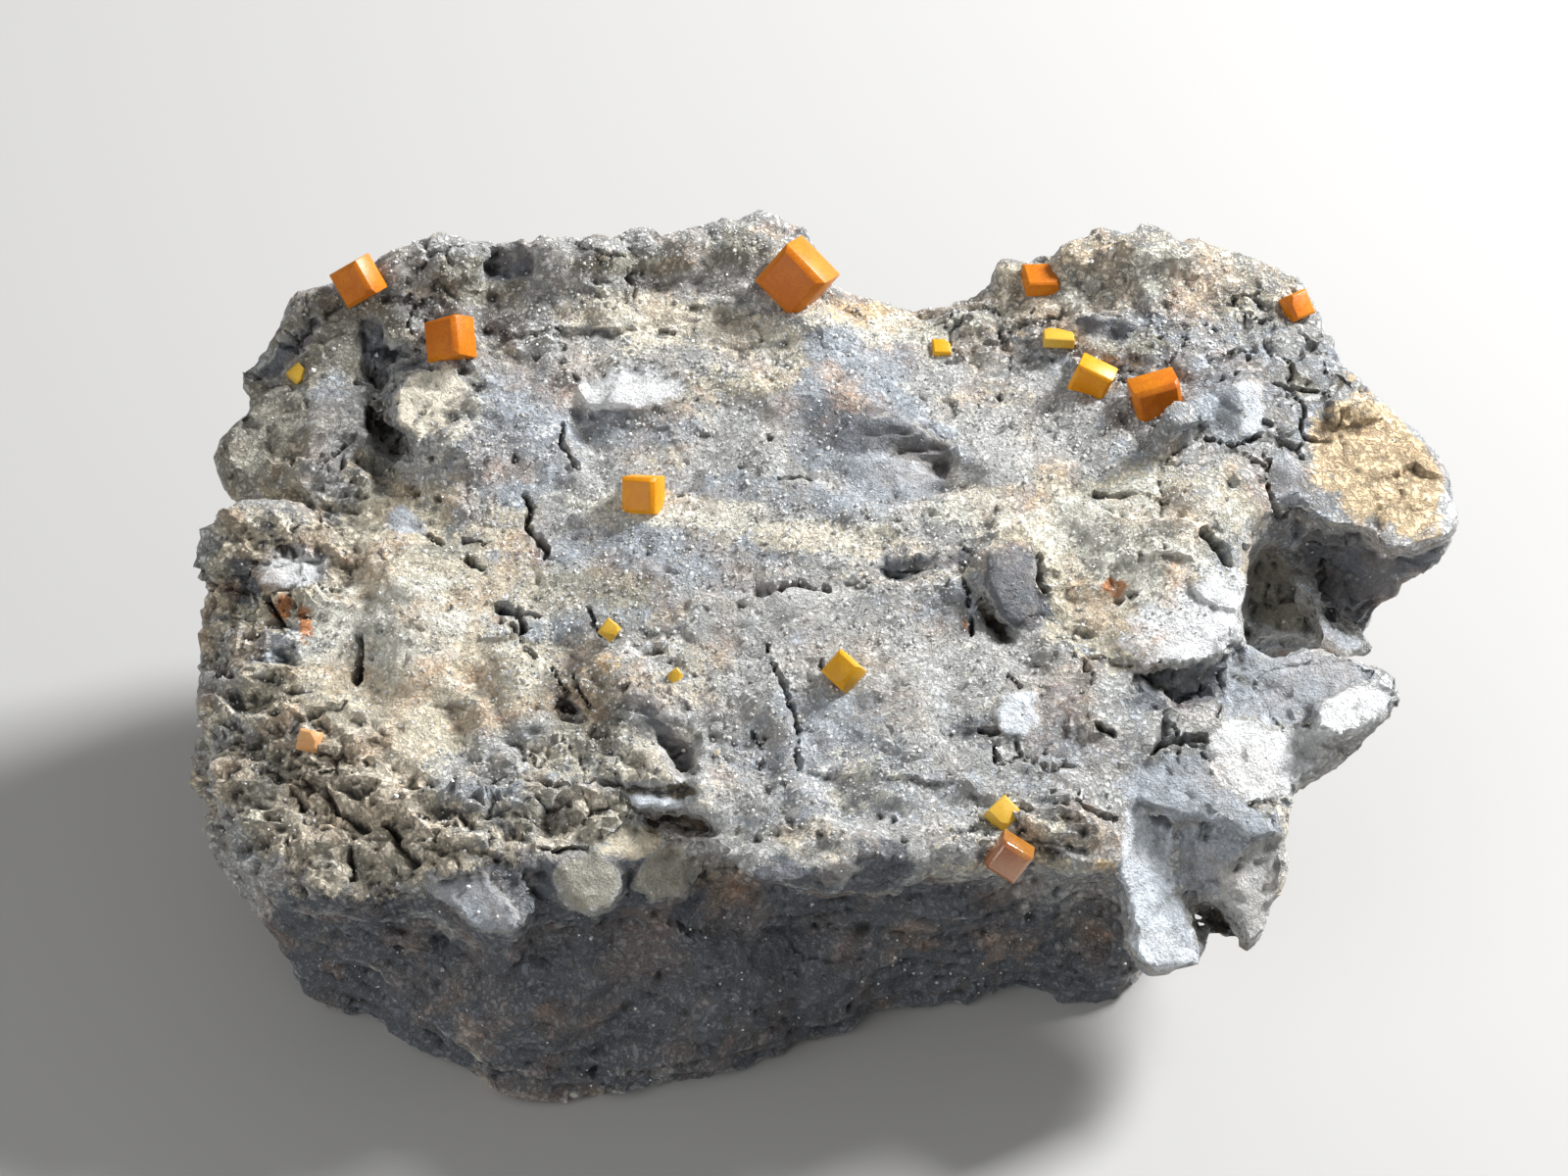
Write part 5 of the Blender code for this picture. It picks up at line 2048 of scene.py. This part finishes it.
CRYSTALS = (
    Wulfenite("wulfenite_large_block", 4.0, 3.4, (-0.42, -0.28, 0.86), (0.74, -0.67), ORANGE, 0),
    Wulfenite("wulfenite_left_rear", 2.8, 2.3, (-0.5, -0.35, 0.79), (0.45, -0.89), ORANGE),
    Wulfenite("wulfenite_left", 3.0, 2.6, (-0.62, 0.1, 0.78), (0.25, -0.97), ORANGE),
    Wulfenite("wulfenite_centre_left", 2.6, 2.2, (-0.42, -0.1, 0.9), (0.05, 1.0), HONEY),
    Wulfenite("wulfenite_centre", 2.1, 1.8, (-0.35, 0.25, 0.9), (0.75, -0.66), OCHRE),
    Wulfenite("wulfenite_right", 2.7, 1.9, (-0.3, -0.62, 0.72), (0.9, -0.44), HONEY, 0),
    Wulfenite("wulfenite_dark", 3.4, 2.6, (0.25, -0.55, 0.8), (0.97, 0.2), BROWN, 2),
    Wulfenite("wulfenite_front", 2.5, 2.2, (-0.1, -0.45, 0.89), (0.8, -0.6), AMBER, 2),
    Wulfenite("wulfenite_front_cap", 1.9, 1.2, (0.2, 0.35, 0.9), (0.7, 0.7), YELLOW, 2),
    Wulfenite("wulfenite_rear", 2.4, 1.3, (0.1, 0.75, 0.65), (0.97, 0.25), ORANGE),
    Wulfenite("wulfenite_edge", 1.9, 1.3, (0.5, 0.2, 0.84), (0.4, -0.9), ORANGE),
    Wulfenite("wulfenite_tablet", 2.2, 0.8, (0.05, 0.9, 0.42), (1.0, 0.05), YELLOW),
    Wulfenite("wulfenite_low_left", 1.5, 1.3, (-0.2, 0.1, 0.95), (0.2, 1.0), PEACH, 2),
    Wulfenite("wulfenite_small_upper", 1.2, 1.0, (0.1, 0.2, 0.97), (0.6, 0.8), YELLOW, 2),
    Wulfenite("wulfenite_small_lower", 1.0, 0.8, (0.1, 0.1, 0.98), (0.8, 0.6), YELLOW, 2),
    Wulfenite("wulfenite_far_left", 1.2, 1.0, (0.0, 0.3, 0.95), (0.7, 0.7), YELLOW),
    Wulfenite("wulfenite_crest", 1.3, 0.8, (0.1, 0.6, 0.8), (0.95, 0.1), OCHRE),
)


@dataclass
class Studio:
    """A plain pale floor under soft light from the upper right."""

    floor_side_M: float = 3.0
    floor_tone: Colour = (0.42, 0.417, 0.41)
    floor_roughness: float = 0.7
    sky: float = 0.32
    centre_M: Place = (0.0, 0.0, 0.02)

    def build(self) -> None:
        """Lay the floor and hang the lights."""
        bpy.ops.object.select_all(action="DESELECT")
        bpy.ops.mesh.primitive_plane_add(size=self.floor_side_M)
        floor = bpy.context.object
        floor.name = "floor"
        made = Shader("floor").dress({"Base Color": self.floor_tone, "Roughness": self.floor_roughness})
        floor.data.materials.append(made)
        self.light("key", (0.36, 0.24, 0.32), 0.13, 6.8)
        self.light("fill", (-0.40, -0.35, 0.30), 0.5, 1.4)
        world = bpy.data.worlds.new("studio")
        world.use_nodes = True
        sky = world.node_tree.nodes["Background"]
        sky.inputs["Color"].default_value = (1.0, 1.0, 1.0, 1.0)
        sky.inputs["Strength"].default_value = self.sky
        bpy.context.scene.world = world
        bpy.context.scene.view_settings.view_transform = "Standard"

    def light(self, name: str, place: Place, side: float, power: float) -> None:
        """Hang a square light that points at the specimen.

        Args:
            name: Its name.
            place: Where it hangs, in metres.
            side: Its side in metres.
            power: Its power in watts.
        """
        data = bpy.data.lights.new(name, "AREA")
        data.size = side
        data.energy = power
        aim(add_object(name, data), Vector(place), Vector(place) - Vector(self.centre_M))


def main() -> None:
    """Build the specimen piece by piece and light it."""
    logging.basicConfig(level=logging.INFO, format="%(message)s")
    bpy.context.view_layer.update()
    VIEW.add_camera()
    rock = DolomiteLump().build([crystal.node for crystal in CRYSTALS])
    log.info("%s: %d faces", rock.name, len(rock.data.polygons))
    druse = QuartzDruse().build(rock)
    log.info("%s: %d faces", druse.name, len(druse.data.polygons))
    for crystal in CRYSTALS:
        made = crystal.build()
        log.info("%s: %d faces", made.name, len(made.data.polygons))
    Studio().build()


if __name__ == "__main__":
    main()
